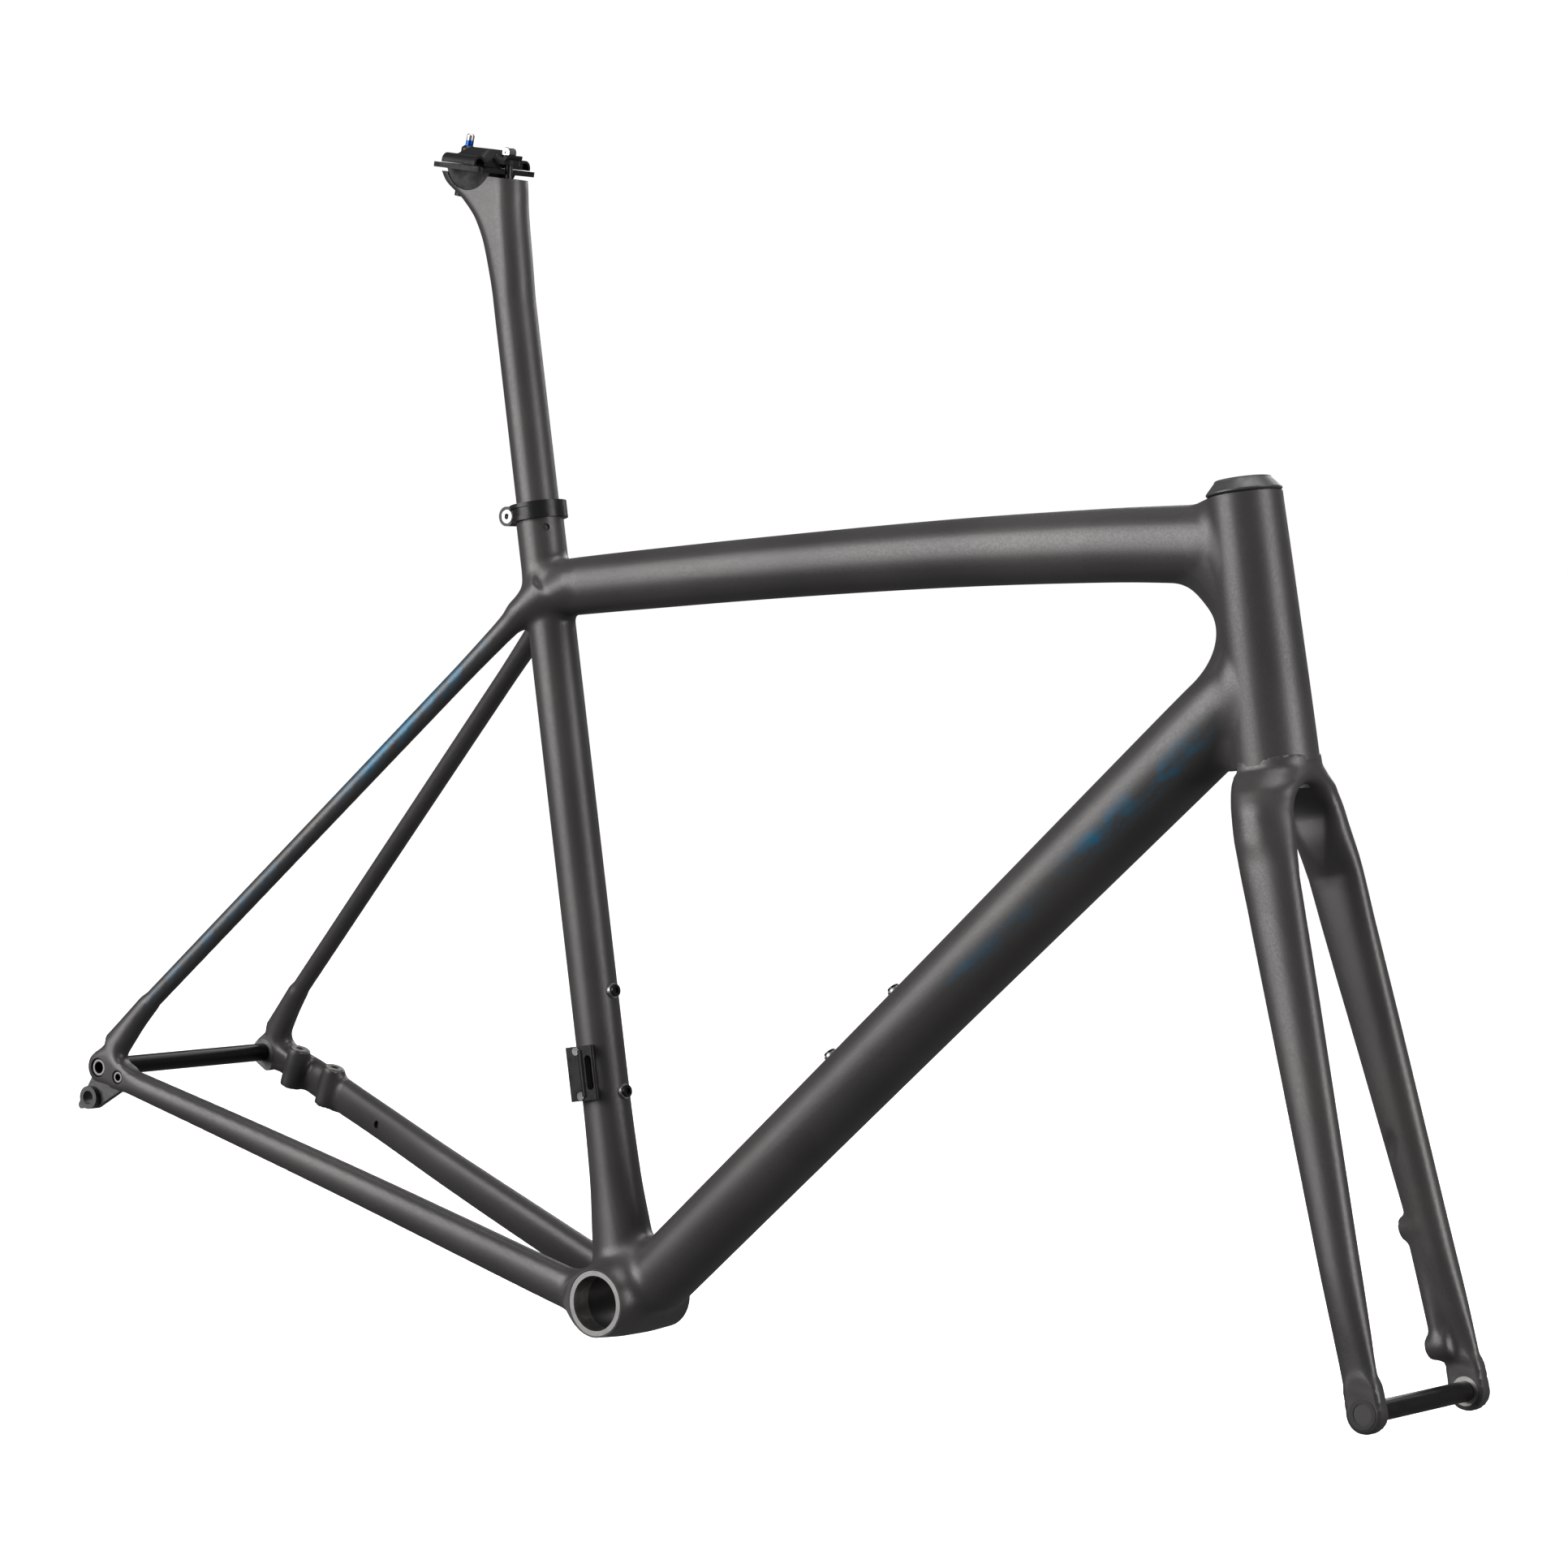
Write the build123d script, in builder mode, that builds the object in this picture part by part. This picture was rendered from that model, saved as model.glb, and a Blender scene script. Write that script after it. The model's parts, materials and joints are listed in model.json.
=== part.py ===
from build123d import *
from math import cos, radians, sin, sqrt, tan
import os

# A carbon road-bike frameset: frame, fork, headset, seatpost and both thru-axles.
# Millimetres. +X is forward, +Y is the rider's left, +Z is up, and the origin is the
# bottom bracket's centre. The drive side is -Y.

# ---- driving dimensions -----------------------------------------------------------
chainstay_length = 410.0      # bottom bracket centre to rear axle
bottom_bracket_drop = 73.0    # axles above the bottom bracket
front_axle_x = 574.5
head_angle = radians(73.4)
seat_angle = radians(73.1)
fork_rake = 44.0
fork_length = 367.0           # along the steering axis, from the axle's foot to the crown
head_tube_length = 156.0
rear_hub_width = 142.0
front_hub_width = 100.0
axle_radius = 6.0
shell_width = 68.0
post_radius = 13.6
steerer_radius = 14.3
wall = 1.3                    # laminate thickness of the tubes
running_gap = 0.05            # radial clearance of what turns or slides
free_gap = 0.3                # between curved faces of different bodies

# ---- shell, tubes and stays -------------------------------------------------------
shell_radius = 22.0
insert_outer_radius = 20.6
insert_bore_radius = 17.4
insert_length = 14.0
shell_bore_radius = 18.0
head_radius_low = 25.0
head_radius_high = 21.0
seat_tube_radius = 15.25
seat_tube_top = 508.0         # along the seat tube from the bottom bracket
straight_from = 130.0         # the seat tube is round and straight above this
rear_dropout_inside = rear_hub_width / 2
rear_dropout_outside = 86.0
front_dropout_inside = front_hub_width / 2
front_dropout_outside = 60.4

# ---- headset ----------------------------------------------------------------------
crown_gap = 1.4               # fork crown below the head tube
lower_bearing = (18.3, 23.0, 7.0)    # bore radius, outside radius, height
upper_bearing = (15.1, 19.0, 6.5)
lower_ball_radius = 1.55
upper_ball_radius = 1.15
ball_count = 22
cover_height = 8.6
cover_radius = 22.2
cover_top_radius = 16.6
steerer_bore_radius = 11.9
steerer_foot_radius = 17.45

# ---- seatpost and saddle clamp ----------------------------------------------------
post_foot = 370.0             # the post's lower end, along the seat tube
post_bore_radius = 11.8
post_bore_top = 680.0         # along the seat tube, under the post head
tilt_x = -226.0               # saddle tilt axis
tilt_z = 698.0
cradle_radius = 20.0
rail_radius = 3.55
rail_half_spacing = 22.0
rail_z = 695.5
clamp_bolt_radius = 2.5
clamp_bolt_lean = radians(5)   # the two clamp bolts lean towards each other
rear_bolt_foot = Vector(-241.5, 0, 673.4)
rear_bolt_length = 40.4
front_nut = Vector(-203.7, 0, 704.6)
front_bolt_below = 31.5       # of the front bolt's length, this much is under its nut
front_bolt_above = 3.0
head_radius = 4.0
head_height = 3.8

# ---- small hardware ---------------------------------------------------------------
bottle_pitch = 64.0
boss_radius = 4.8
boss_height = 1.6
m5_radius = 2.5
rear_brake_pitch = 34.0
front_brake_pitch = 70.0
brake_hole_radius = 2.75
hanger_thread_radius = 4.6
os.makedirs("parts", exist_ok=True)

rear_axle = Vector(-sqrt(chainstay_length**2 - bottom_bracket_drop**2), 0, bottom_bracket_drop)
front_axle = Vector(front_axle_x, 0, bottom_bracket_drop)
steer_up = Vector(-cos(head_angle), 0, sin(head_angle))
steer_ahead = Vector(sin(head_angle), 0, cos(head_angle))
seat_up = Vector(-cos(seat_angle), 0, sin(seat_angle))
seat_ahead = Vector(sin(seat_angle), 0, cos(seat_angle))
crown = front_axle - steer_ahead * fork_rake + steer_up * fork_length
steering_axis = Axis(crown, steer_up)
seat_axis = Axis((0, 0, 0), seat_up)
steer_section = Plane(origin=crown, x_dir=steer_ahead, z_dir=(0, -1, 0))
seat_section = Plane(origin=(0, 0, 0), x_dir=seat_ahead, z_dir=(0, -1, 0))


def steer_plane(height):
    """A plane square to the steering axis, height above the foot of the head tube."""
    return Plane(origin=crown + steer_up * height, x_dir=steer_ahead, z_dir=steer_up)


def seat_plane(height):
    """A plane square to the seat tube, height along it from the bottom bracket."""
    return Plane(origin=seat_up * height, x_dir=seat_ahead, z_dir=seat_up)


def side_plane(y):
    """An upright lengthwise plane whose +normal is -Y; sketch x, y are the row's X, Z."""
    return Plane(origin=(0, y, 0), x_dir=(1, 0, 0), z_dir=(0, -1, 0))


def turned(profile, section, axis):
    """Revolve a closed half-profile of (radius, height) points about an axis."""
    with BuildPart() as body:
        with BuildSketch(section):
            with BuildLine():
                Polyline(*profile, close=True)
            make_face()
        revolve(axis=axis)
    return body.part


def rod(start, end, radius):
    """A round bar from start to end."""
    run = Vector(*end) - Vector(*start)
    with BuildPart() as body:
        with BuildSketch(Plane(origin=start, z_dir=run.normalized())):
            Circle(radius)
        extrude(amount=run.length)
    return body.part


def plate(circles, y_from, y_to):
    """The hull of circles (x, z, radius), as a plate between two lengthwise planes."""
    with BuildPart() as body:
        with BuildSketch(side_plane(y_to)):
            with BuildLine() as outline:
                for x, z, radius in circles:
                    CenterArc((x, z), radius, 0, 360)
            make_hull(outline.edges())
        extrude(amount=y_to - y_from)
    return body.part


def block(low, high):
    """A box between two opposite corners."""
    middle = (Vector(*low) + Vector(*high)) * 0.5
    spans = [abs(a - b) for a, b in zip(low, high)]
    return Pos(middle) * Box(*spans, mode=Mode.PRIVATE)


def tube_along(run, sizes, shrink=0.0):
    """Loft ellipses (half-width, half-height), spaced evenly along a run."""
    last = len(sizes) - 1
    path = run.edge()
    with BuildPart() as body:
        for step, (half_width, half_height) in enumerate(sizes):
            ahead = path % (step / last)
            sideways = ahead.cross(Vector(0, 0, 1)).normalized()
            with BuildSketch(Plane(origin=path @ (step / last), x_dir=sideways, z_dir=ahead)):
                Ellipse(half_width - shrink, half_height - shrink)
        loft()
    return body.part


def laminate(run, sizes, *cutters):
    """A hollow tube along a run, its ends saddled to fit its neighbours."""
    with BuildPart() as body:
        add(tube_along(run, sizes))
        add(tube_along(run, sizes, wall), mode=Mode.SUBTRACT)
        for cutter in cutters:
            add(cutter, mode=Mode.SUBTRACT)
        largest = body.part.solids().sort_by(SortBy.VOLUME)[-1]
    with BuildPart() as kept:
        add(largest)
    return kept.part


def save(part, name):
    part.label = name
    export_step(part, f"parts/{name}.step")


# ---- envelopes that the neighbouring tubes are cut to --------------------------------
head_envelope = turned(
    [(0, 0), (head_radius_low, 0), (head_radius_high, head_tube_length), (0, head_tube_length)],
    steer_section,
    steering_axis,
)
shell_envelope = rod((0, shell_width / 2, 0), (0, -shell_width / 2, 0), shell_radius)

# ---- bottom bracket shell ----------------------------------------------------------
with BuildPart() as bottom_bracket_shell:
    add(shell_envelope)
    add(rod((0, shell_width / 2, 0), (0, -shell_width / 2, 0), shell_bore_radius), mode=Mode.SUBTRACT)
    for side in (-1, 1):
        mouth = (0, side * shell_width / 2, 0)
        seat = (0, side * (shell_width / 2 - insert_length), 0)
        add(rod(mouth, seat, insert_outer_radius), mode=Mode.SUBTRACT)
save(bottom_bracket_shell.part, "bottom_bracket_shell")

for side, name in ((-1, "bottom_bracket_insert_right"), (1, "bottom_bracket_insert_left")):
    mouth = (0, side * shell_width / 2, 0)
    seat = (0, side * (shell_width / 2 - insert_length), 0)
    with BuildPart() as bottom_bracket_insert:
        add(rod(mouth, seat, insert_outer_radius))
        add(rod(mouth, seat, insert_bore_radius), mode=Mode.SUBTRACT)
    save(bottom_bracket_insert.part, name)

# ---- seat tube ---------------------------------------------------------------------
flare = ((22.0, 22.0, 20.0), (45.0, 19.5, 17.5), (80.0, 16.3, 15.8), (straight_from, 15.25, 15.25))


def seat_tube_body(shrink):
    """The seat tube's outside, or with a shrink, the hollow of its flared foot."""
    with BuildPart() as body:
        for height, half_length, half_width in flare:
            with BuildSketch(seat_plane(height)):
                Ellipse(half_length - shrink, half_width - shrink)
        loft()
        with BuildSketch(seat_plane(straight_from)):
            Circle(seat_tube_radius - shrink)
        extrude(amount=seat_tube_top - straight_from)
    return body.part


seat_envelope = seat_tube_body(0.0)
slot_turn = 30.0              # the relief keyhole stands this far off the front
keyhole_radius = 2.2
keyhole_height = 492.0
with BuildPart() as seat_tube:
    add(seat_envelope)
    add(seat_tube_body(seat_tube_radius - post_radius - running_gap), mode=Mode.SUBTRACT)
    add(shell_envelope, mode=Mode.SUBTRACT)
    keyhole_direction = Vector(cos(radians(slot_turn)), -sin(radians(slot_turn)), 0)
    keyhole_start = seat_up * keyhole_height
    keyhole_end = keyhole_start + keyhole_direction * (2 * seat_tube_radius)
    add(rod(keyhole_start, keyhole_end, keyhole_radius), mode=Mode.SUBTRACT)
save(seat_tube.part, "seat_tube")

# ---- head tube ---------------------------------------------------------------------
inner_low = head_radius_low - 3.5
inner_high = head_radius_high - 4.0
lower_seat = lower_bearing[2] + 0.4
upper_seat = head_tube_length - upper_bearing[2] - 0.4
head_tube = turned(
    [
        (lower_bearing[1], 0),
        (head_radius_low, 0),
        (head_radius_high, head_tube_length),
        (upper_bearing[1], head_tube_length),
        (upper_bearing[1], upper_seat),
        (inner_high, upper_seat),
        (inner_low, lower_seat),
        (lower_bearing[1], lower_seat),
    ],
    steer_section,
    steering_axis,
)
save(head_tube, "head_tube")

# ---- top tube and down tube ----------------------------------------------------------
with BuildLine() as top_run:
    ThreePointArc((-139, 0, 432.2), (118, 0, 488.0), (386, 0, 534))
top_sizes = ((17.2, 18.0), (17.6, 18.6), (18.2, 19.3), (19.0, 20.2), (20.0, 21.8))
with BuildPart() as behind_seat_axis:
    with BuildSketch(seat_plane(straight_from)):
        Rectangle(80, 80, align=(Align.MAX, Align.CENTER))
    extrude(amount=seat_tube_top - straight_from)
top_tube = laminate(top_run, top_sizes, head_envelope, seat_envelope, behind_seat_axis.part)
save(top_tube, "top_tube")

with BuildLine() as down_run:
    Line((14, 0, 8.8), (408, 0, 458.2))
down_sizes = ((21.2, 21.2), (23.0, 22.6), (24.4, 24.0), (25.0, 25.2))
down_envelope = tube_along(down_run, down_sizes)
down_tube = laminate(down_run, down_sizes, head_envelope, seat_envelope, shell_envelope)
save(down_tube, "down_tube")

# ---- rear dropouts, hanger and stays --------------------------------------------------
hanger_ring = (rear_axle.X - 12.4, 49.6)
hanger_bolt = (rear_axle.X + 18.8, 70.2)
stay_root_low = (-376.0, 68.4)
stay_root_high = (-393.0, 98.0)
dropout_circles = (
    (rear_axle.X, rear_axle.Z, 11.0),
    (stay_root_low[0], stay_root_low[1], 9.4),
    (stay_root_high[0], stay_root_high[1], 7.4),
)
hanger_circles = (
    (rear_axle.X, rear_axle.Z, 9.0),
    (hanger_ring[0], hanger_ring[1], 7.7),
    (hanger_bolt[0], hanger_bolt[1], 5.2),
)
left_plate_circles = (
    (rear_axle.X, rear_axle.Z, 9.4),
    (rear_axle.X + 5.0, rear_axle.Z - 7.5, 4.5),
)
plate_depth = 5.0
axle_hole_radius = axle_radius + 0.45
axle_thread_radius = axle_radius + running_gap
hanger_bolt_radius = 3.0
hanger_head_radius = 4.4


def across(x, z, y_from, y_to, radius):
    """A round bar across the frame."""
    return rod((x, y_from, z), (x, y_to, z), radius)


envelope_right = plate(dropout_circles, -rear_dropout_outside, -rear_dropout_inside)
envelope_left = plate(dropout_circles, rear_dropout_inside, rear_dropout_outside)
pocket_right = -rear_dropout_inside - plate_depth
pocket_left = rear_dropout_inside + plate_depth

with BuildPart() as dropout_right:
    add(envelope_right)
    add(plate(hanger_circles, pocket_right, -rear_dropout_inside), mode=Mode.SUBTRACT)
    add(
        across(rear_axle.X, rear_axle.Z, -rear_dropout_outside, pocket_right, axle_hole_radius),
        mode=Mode.SUBTRACT,
    )
    add(
        across(*hanger_bolt, -rear_dropout_outside, pocket_right, hanger_bolt_radius + 0.2),
        mode=Mode.SUBTRACT,
    )
    add(
        across(*hanger_bolt, -rear_dropout_outside, 4.0 - rear_dropout_outside, hanger_head_radius + 0.2),
        mode=Mode.SUBTRACT,
    )
save(dropout_right.part, "dropout_right")

ring_face = -80.0             # the hanger's threaded ring stands this far out
with BuildPart() as derailleur_hanger:
    add(plate(hanger_circles, pocket_right, -rear_dropout_inside))
    add(across(*hanger_ring, ring_face, -rear_dropout_inside, 7.7))
    stop_lip = ((hanger_ring[0] - 5.5, hanger_ring[1] - 6.0, 2.6), (*hanger_ring, 5.0))
    add(plate(stop_lip, ring_face, ring_face + 4.0))
    add(envelope_right - plate(hanger_circles, pocket_right, -rear_dropout_inside), mode=Mode.SUBTRACT)
    add(across(*hanger_ring, ring_face, -rear_dropout_inside, hanger_thread_radius), mode=Mode.SUBTRACT)
    add(
        across(rear_axle.X, rear_axle.Z, pocket_right, -rear_dropout_inside, axle_thread_radius),
        mode=Mode.SUBTRACT,
    )
    add(across(*hanger_bolt, pocket_right, -rear_dropout_inside, hanger_bolt_radius), mode=Mode.SUBTRACT)
save(derailleur_hanger.part, "derailleur_hanger")

with BuildPart() as hanger_screw:
    add(across(*hanger_bolt, 4.0 - rear_dropout_outside, -rear_dropout_inside, hanger_bolt_radius))
    add(across(*hanger_bolt, 0.6 - rear_dropout_outside, 4.0 - rear_dropout_outside, hanger_head_radius))
    head_middle = (hanger_bolt[0], 0.6 - rear_dropout_outside, hanger_bolt[1])
    with BuildSketch(Plane(origin=head_middle, z_dir=(0, -1, 0))):
        RegularPolygon(2.3, 6)
    extrude(amount=-3.0, mode=Mode.SUBTRACT)
save(hanger_screw.part, "hanger_screw")

with BuildPart() as dropout_left:
    add(envelope_left)
    add(plate(left_plate_circles, rear_dropout_inside, pocket_left), mode=Mode.SUBTRACT)
    add(
        across(rear_axle.X, rear_axle.Z, pocket_left, rear_dropout_outside, axle_hole_radius),
        mode=Mode.SUBTRACT,
    )
    add(
        across(rear_axle.X, rear_axle.Z, rear_dropout_outside - 3.0, rear_dropout_outside, 9.0),
        mode=Mode.SUBTRACT,
    )
save(dropout_left.part, "dropout_left")

with BuildPart() as dropout_insert_left:
    add(plate(left_plate_circles, rear_dropout_inside, pocket_left))
    add(
        across(rear_axle.X, rear_axle.Z, rear_dropout_inside, pocket_left, axle_thread_radius),
        mode=Mode.SUBTRACT,
    )
save(dropout_insert_left.part, "dropout_insert_left")

chainstay_sizes = {
    "right": ((7.0, 8.4), (7.2, 9.9), (7.8, 11.4), (8.2, 12.6), (8.4, 13.0)),
    "left": ((7.6, 11.8), (7.4, 12.0), (7.8, 12.8), (8.2, 13.4), (8.4, 13.4)),
}
seatstay_sizes = ((6.0, 6.0), (6.2, 6.2), (6.45, 6.45))
brake_hole_y = 66.5
brake_top_z = 80.0            # the brake's seat on the left chainstay
brake_middle_x = -348.0
stay_slope = 0.1908           # rise of the chainstay per unit of length
stay_normal = Vector(stay_slope, 0, 1).normalized()
stay_along = Vector(1, 0, -stay_slope).normalized()
brake_middle = Vector(brake_middle_x, brake_hole_y, brake_top_z)
brake_boss_radius = 7.4
rear_brake_points = [brake_middle + stay_along * (side * rear_brake_pitch / 2) for side in (-1, 1)]
boss_depth = 28.0
for side, hand in ((-1, "right"), (1, "left")):
    envelope = envelope_right if side < 0 else envelope_left
    with BuildLine() as chainstay_run:
        ThreePointArc(
            (stay_root_low[0], side * 79.0, stay_root_low[1]),
            (-203, side * 48.6, 35.2),
            (-12, side * 24.2, -2.2),
        )
    chainstay = laminate(chainstay_run, chainstay_sizes[hand], envelope, shell_envelope, seat_envelope)
    if side > 0:
        with BuildPart() as chainstay_with_brake:
            add(chainstay)
            for point in rear_brake_points:
                add(rod(point, point - stay_normal * boss_depth, brake_boss_radius))
            add(envelope_left, mode=Mode.SUBTRACT)
            for point in rear_brake_points:
                add(rod(point, point - stay_normal * 40, 4.0), mode=Mode.SUBTRACT)
        chainstay = chainstay_with_brake.part
    save(chainstay, f"chainstay_{hand}")

with BuildLine() as seatstay_run:
    Line((stay_root_high[0], -77.6, stay_root_high[1]), (-133.6, -12.2, 425))
seatstay_right = laminate(seatstay_run, seatstay_sizes, envelope_right, seat_envelope)
seatstay_left = mirror(seatstay_right, about=Plane.XZ)
save(seatstay_right, "seatstay_right")
save(seatstay_left, "seatstay_left")

with BuildPart() as rear_brake_inserts:
    for point in rear_brake_points:
        add(rod(point + stay_normal * 0.4, point, 6.2))
        add(rod(point, point - stay_normal * boss_depth, 4.0))
        hole_end = point - stay_normal * (boss_depth + 1)
        add(rod(point + stay_normal, hole_end, brake_hole_radius), mode=Mode.SUBTRACT)
save(rear_brake_inserts.part, "rear_brake_inserts")

# ---- fork: crown, legs and steerer ----------------------------------------------------
leg_low = Vector(front_axle.X - 11.0, 0, front_axle.Z + 26.0)
leg_stations = (               # z, x, y of the leg's centre, then its half-depth and half-width
    (364.0, 449.4, 32.2, 18.4, 11.3),
    (300.0, 477.1, 38.2, 16.3, 10.7),
    (210.0, 516.0, 46.1, 13.7, 10.0),
    (130.0, 550.6, 52.6, 11.8, 8.9),
    (leg_low.Z, leg_low.X, 55.2, 11.4, 6.4),
)
crown_stations = (             # height on the steering axis, half-length, half-width
    (-crown_gap, 24.5, 24.5),
    (-9.0, 24.2, 29.5),
    (-22.0, 22.0, 37.0),
    (-38.0, 19.8, 42.0),
    (-50.0, 18.6, 43.4),
)
arch_radius = 20.6
arch_top = -15.5


def leg_direction():
    top = leg_stations[0]
    foot = leg_stations[-1]
    return Vector(top[1] - foot[1], 0, top[0] - foot[0]).normalized()


leg_up = leg_direction()
leg_rear = Vector(-leg_up.Z, 0, leg_up.X)
brake_half = front_brake_pitch / 2
front_brake_middle = Vector(534.3, 51.0, 123.9)    # midway between the two bosses' faces
front_brake_faces = [front_brake_middle + leg_up * (side * brake_half) for side in (-1, 1)]
front_boss_radius = 6.6
insert_radius = 4.2
insert_depth = 12.0


def leg_body(side):
    with BuildPart() as body:
        for z, x, y, half_depth, half_width in leg_stations:
            with BuildSketch(Plane(origin=(x, side * y, z), x_dir=(0, 1, 0), z_dir=leg_up)):
                Ellipse(half_width, half_depth)
        loft()
    return body.part


dropout_radius = 11.6
fork_foot = (
    (front_axle.X, front_axle.Z, dropout_radius),
    (leg_low.X, leg_low.Z, 11.2),
)
with BuildPart() as fork_crown:
    for height, half_length, half_width in crown_stations:
        with BuildSketch(steer_plane(height)):
            Ellipse(half_length, half_width)
    loft()
    arch_centre = crown + steer_up * (arch_top - arch_radius)
    reach = steer_ahead * 60
    add(rod(arch_centre - reach, arch_centre + reach, arch_radius), mode=Mode.SUBTRACT)
    with BuildSketch(steer_plane(arch_top - arch_radius)):
        Rectangle(120, 2 * arch_radius)
    extrude(amount=-60, mode=Mode.SUBTRACT)
    add(rod(crown, crown - steer_up * 40, steerer_foot_radius), mode=Mode.SUBTRACT)
save(fork_crown.part, "fork_crown")
crown_foot = Plane(origin=crown + steer_up * crown_stations[-1][0], x_dir=steer_ahead, z_dir=steer_up)

front_inside = {
    "right": (-front_dropout_outside, -front_dropout_inside),
    "left": (front_dropout_inside, front_dropout_outside),
}
for side, hand in ((-1, "right"), (1, "left")):
    y_low, y_high = front_inside[hand]
    with BuildPart() as fork_leg:
        add(leg_body(side))
        add(plate(fork_foot, y_low, y_high))
        if side > 0:
            for face in front_brake_faces:
                add(rod(face, face - leg_rear * insert_depth, front_boss_radius))
        split(bisect_by=crown_foot, keep=Keep.BOTTOM)
        add(across(front_axle.X, front_axle.Z, side * 49, side * 70, 8.5), mode=Mode.SUBTRACT)
        add(block((520, -49.98, 40), (620, 49.98, 88)), mode=Mode.SUBTRACT)
        add(block((540, side * 80, 50), (620, side * 60.42, 86)), mode=Mode.SUBTRACT)
        if side > 0:
            for face in front_brake_faces:
                add(rod(face, face - leg_rear * insert_depth, insert_radius), mode=Mode.SUBTRACT)
    save(fork_leg.part, f"fork_leg_{hand}")

with BuildPart() as front_brake_inserts:
    for face in front_brake_faces:
        add(rod(face + leg_rear * 0.3, face - leg_rear * insert_depth, insert_radius))
        add(rod(face + leg_rear, face - leg_rear * insert_depth, m5_radius), mode=Mode.SUBTRACT)
save(front_brake_inserts.part, "front_brake_inserts")

with BuildPart() as axle_nut_insert:
    add(across(front_axle.X, front_axle.Z, -front_dropout_outside, -front_dropout_inside, 8.5))
    add(across(front_axle.X, front_axle.Z, -70, -40, axle_thread_radius), mode=Mode.SUBTRACT)
save(axle_nut_insert.part, "fork_axle_nut_right")

with BuildPart() as axle_seat_insert:
    add(across(front_axle.X, front_axle.Z, front_dropout_inside, front_dropout_outside - 3.2, 8.5))
    add(across(front_axle.X, front_axle.Z, 40, 70, axle_thread_radius), mode=Mode.SUBTRACT)
save(axle_seat_insert.part, "fork_axle_seat_left")

steerer_top = head_tube_length + 0.9 + cover_height - 0.8
steerer = turned(
    [
        (steerer_bore_radius, -15.4),
        (steerer_foot_radius, -15.4),
        (steerer_foot_radius, 12.0),
        (steerer_radius, 60.0),
        (steerer_radius, steerer_top),
        (steerer_bore_radius, steerer_top),
    ],
    steer_section,
    steering_axis,
)
save(steerer, "steerer")

# ---- headset ---------------------------------------------------------------------------


def bearing(size, ball_radius, base, name):
    """An angular cartridge bearing: outer race, inner race and a ring of balls."""
    bore, outside, height = size
    pitch_radius = (bore + outside) / 2
    race_gap = ball_radius * 0.5
    groove = ball_radius + 0.1
    middle = base + height / 2
    rings = {
        f"{name}_outer_race": (pitch_radius + race_gap, outside),
        f"{name}_inner_race": (bore, pitch_radius - race_gap),
    }
    for node, (inside, rim) in rings.items():
        with BuildPart() as ring:
            with BuildSketch(steer_section):
                with Locations(((inside + rim) / 2, middle)):
                    Rectangle(rim - inside, height)
                with Locations((pitch_radius, middle)):
                    Circle(groove, mode=Mode.SUBTRACT)
            revolve(axis=steering_axis)
        save(ring.part, node)
    with BuildPart() as balls:
        with Locations(steer_plane(middle)):
            with PolarLocations(pitch_radius, ball_count):
                Sphere(ball_radius)
    save(balls.part, f"{name}_balls")


bearing(lower_bearing, lower_ball_radius, 0.2, "lower_bearing")
bearing(upper_bearing, upper_ball_radius, head_tube_length - upper_bearing[2] - 0.2, "upper_bearing")

crown_race = turned(
    [
        (steerer_foot_radius + 0.05, -crown_gap),
        (lower_bearing[1] - 0.9, -crown_gap),
        (lower_bearing[1] - 3.2, 0.15),
        (steerer_foot_radius + 0.05, 0.15),
    ],
    steer_section,
    steering_axis,
)
save(crown_race, "crown_race")

cover_base = head_tube_length + 0.9
compression_ring = turned(
    [
        (steerer_radius + 0.02, head_tube_length - 5.0),
        (upper_bearing[0] - 0.02, head_tube_length - 5.0),
        (upper_bearing[0] - 0.02, head_tube_length - 0.2),
        (16.2, head_tube_length - 0.2),
        (16.2, cover_base),
        (steerer_radius + 0.02, cover_base),
    ],
    steer_section,
    steering_axis,
)
save(compression_ring, "compression_ring")

with BuildPart() as headset_cover:
    with BuildSketch(steer_section):
        with BuildLine():
            Polyline(
                (steerer_radius + 0.05, cover_base),
                (cover_radius - 0.7, cover_base),
                (cover_radius, cover_base + 0.7),
                (cover_radius - 0.1, cover_base + 1.5),
            )
            CenterArc((cover_top_radius - 0.9, cover_base + cover_height - 0.9), 0.9, 0, 90)
            lip = cover_base + cover_height - 0.9
            Line((cover_radius - 0.1, cover_base + 1.5), (cover_top_radius, lip))
            Polyline(
                (cover_top_radius - 0.9, cover_base + cover_height),
                (steerer_radius + 0.05, cover_base + cover_height),
                (steerer_radius + 0.05, cover_base),
            )
        make_face()
    revolve(axis=steering_axis)
save(headset_cover.part, "headset_cover")

seal_low = head_tube_length + free_gap
cover_seal = turned(
    [(18.6, seal_low), (20.3, seal_low), (20.3, cover_base), (18.6, cover_base)],
    steer_section,
    steering_axis,
)
save(cover_seal, "cover_seal")

# ---- seatpost ----------------------------------------------------------------------------
head_z = 688.3                # the post head's flat rim
flare_stations = (            # z, reach behind and ahead of the seat axis, half-width
    (600.0, 14.25, 14.25, 13.5),
    (620.0, 14.6, 14.8, 13.4),
    (640.0, 16.1, 15.4, 13.2),
    (656.0, 19.8, 16.0, 13.1),
    (670.0, 28.8, 16.9, 13.0),
    (680.0, 39.6, 17.8, 13.0),
    (head_z, 46.2, 18.8, 13.0),
)
rear_bolt_up = Vector(sin(clamp_bolt_lean), 0, cos(clamp_bolt_lean))
front_bolt_up = Vector(-sin(clamp_bolt_lean), 0, cos(clamp_bolt_lean))
front_bolt_foot = front_nut - front_bolt_up * front_bolt_below
slot_depth = 18.0             # of the bolt slots, above the bolt's foot
head_room = (6.6, 4.9)        # half-length and half-width of the room for a bolt's head
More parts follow.
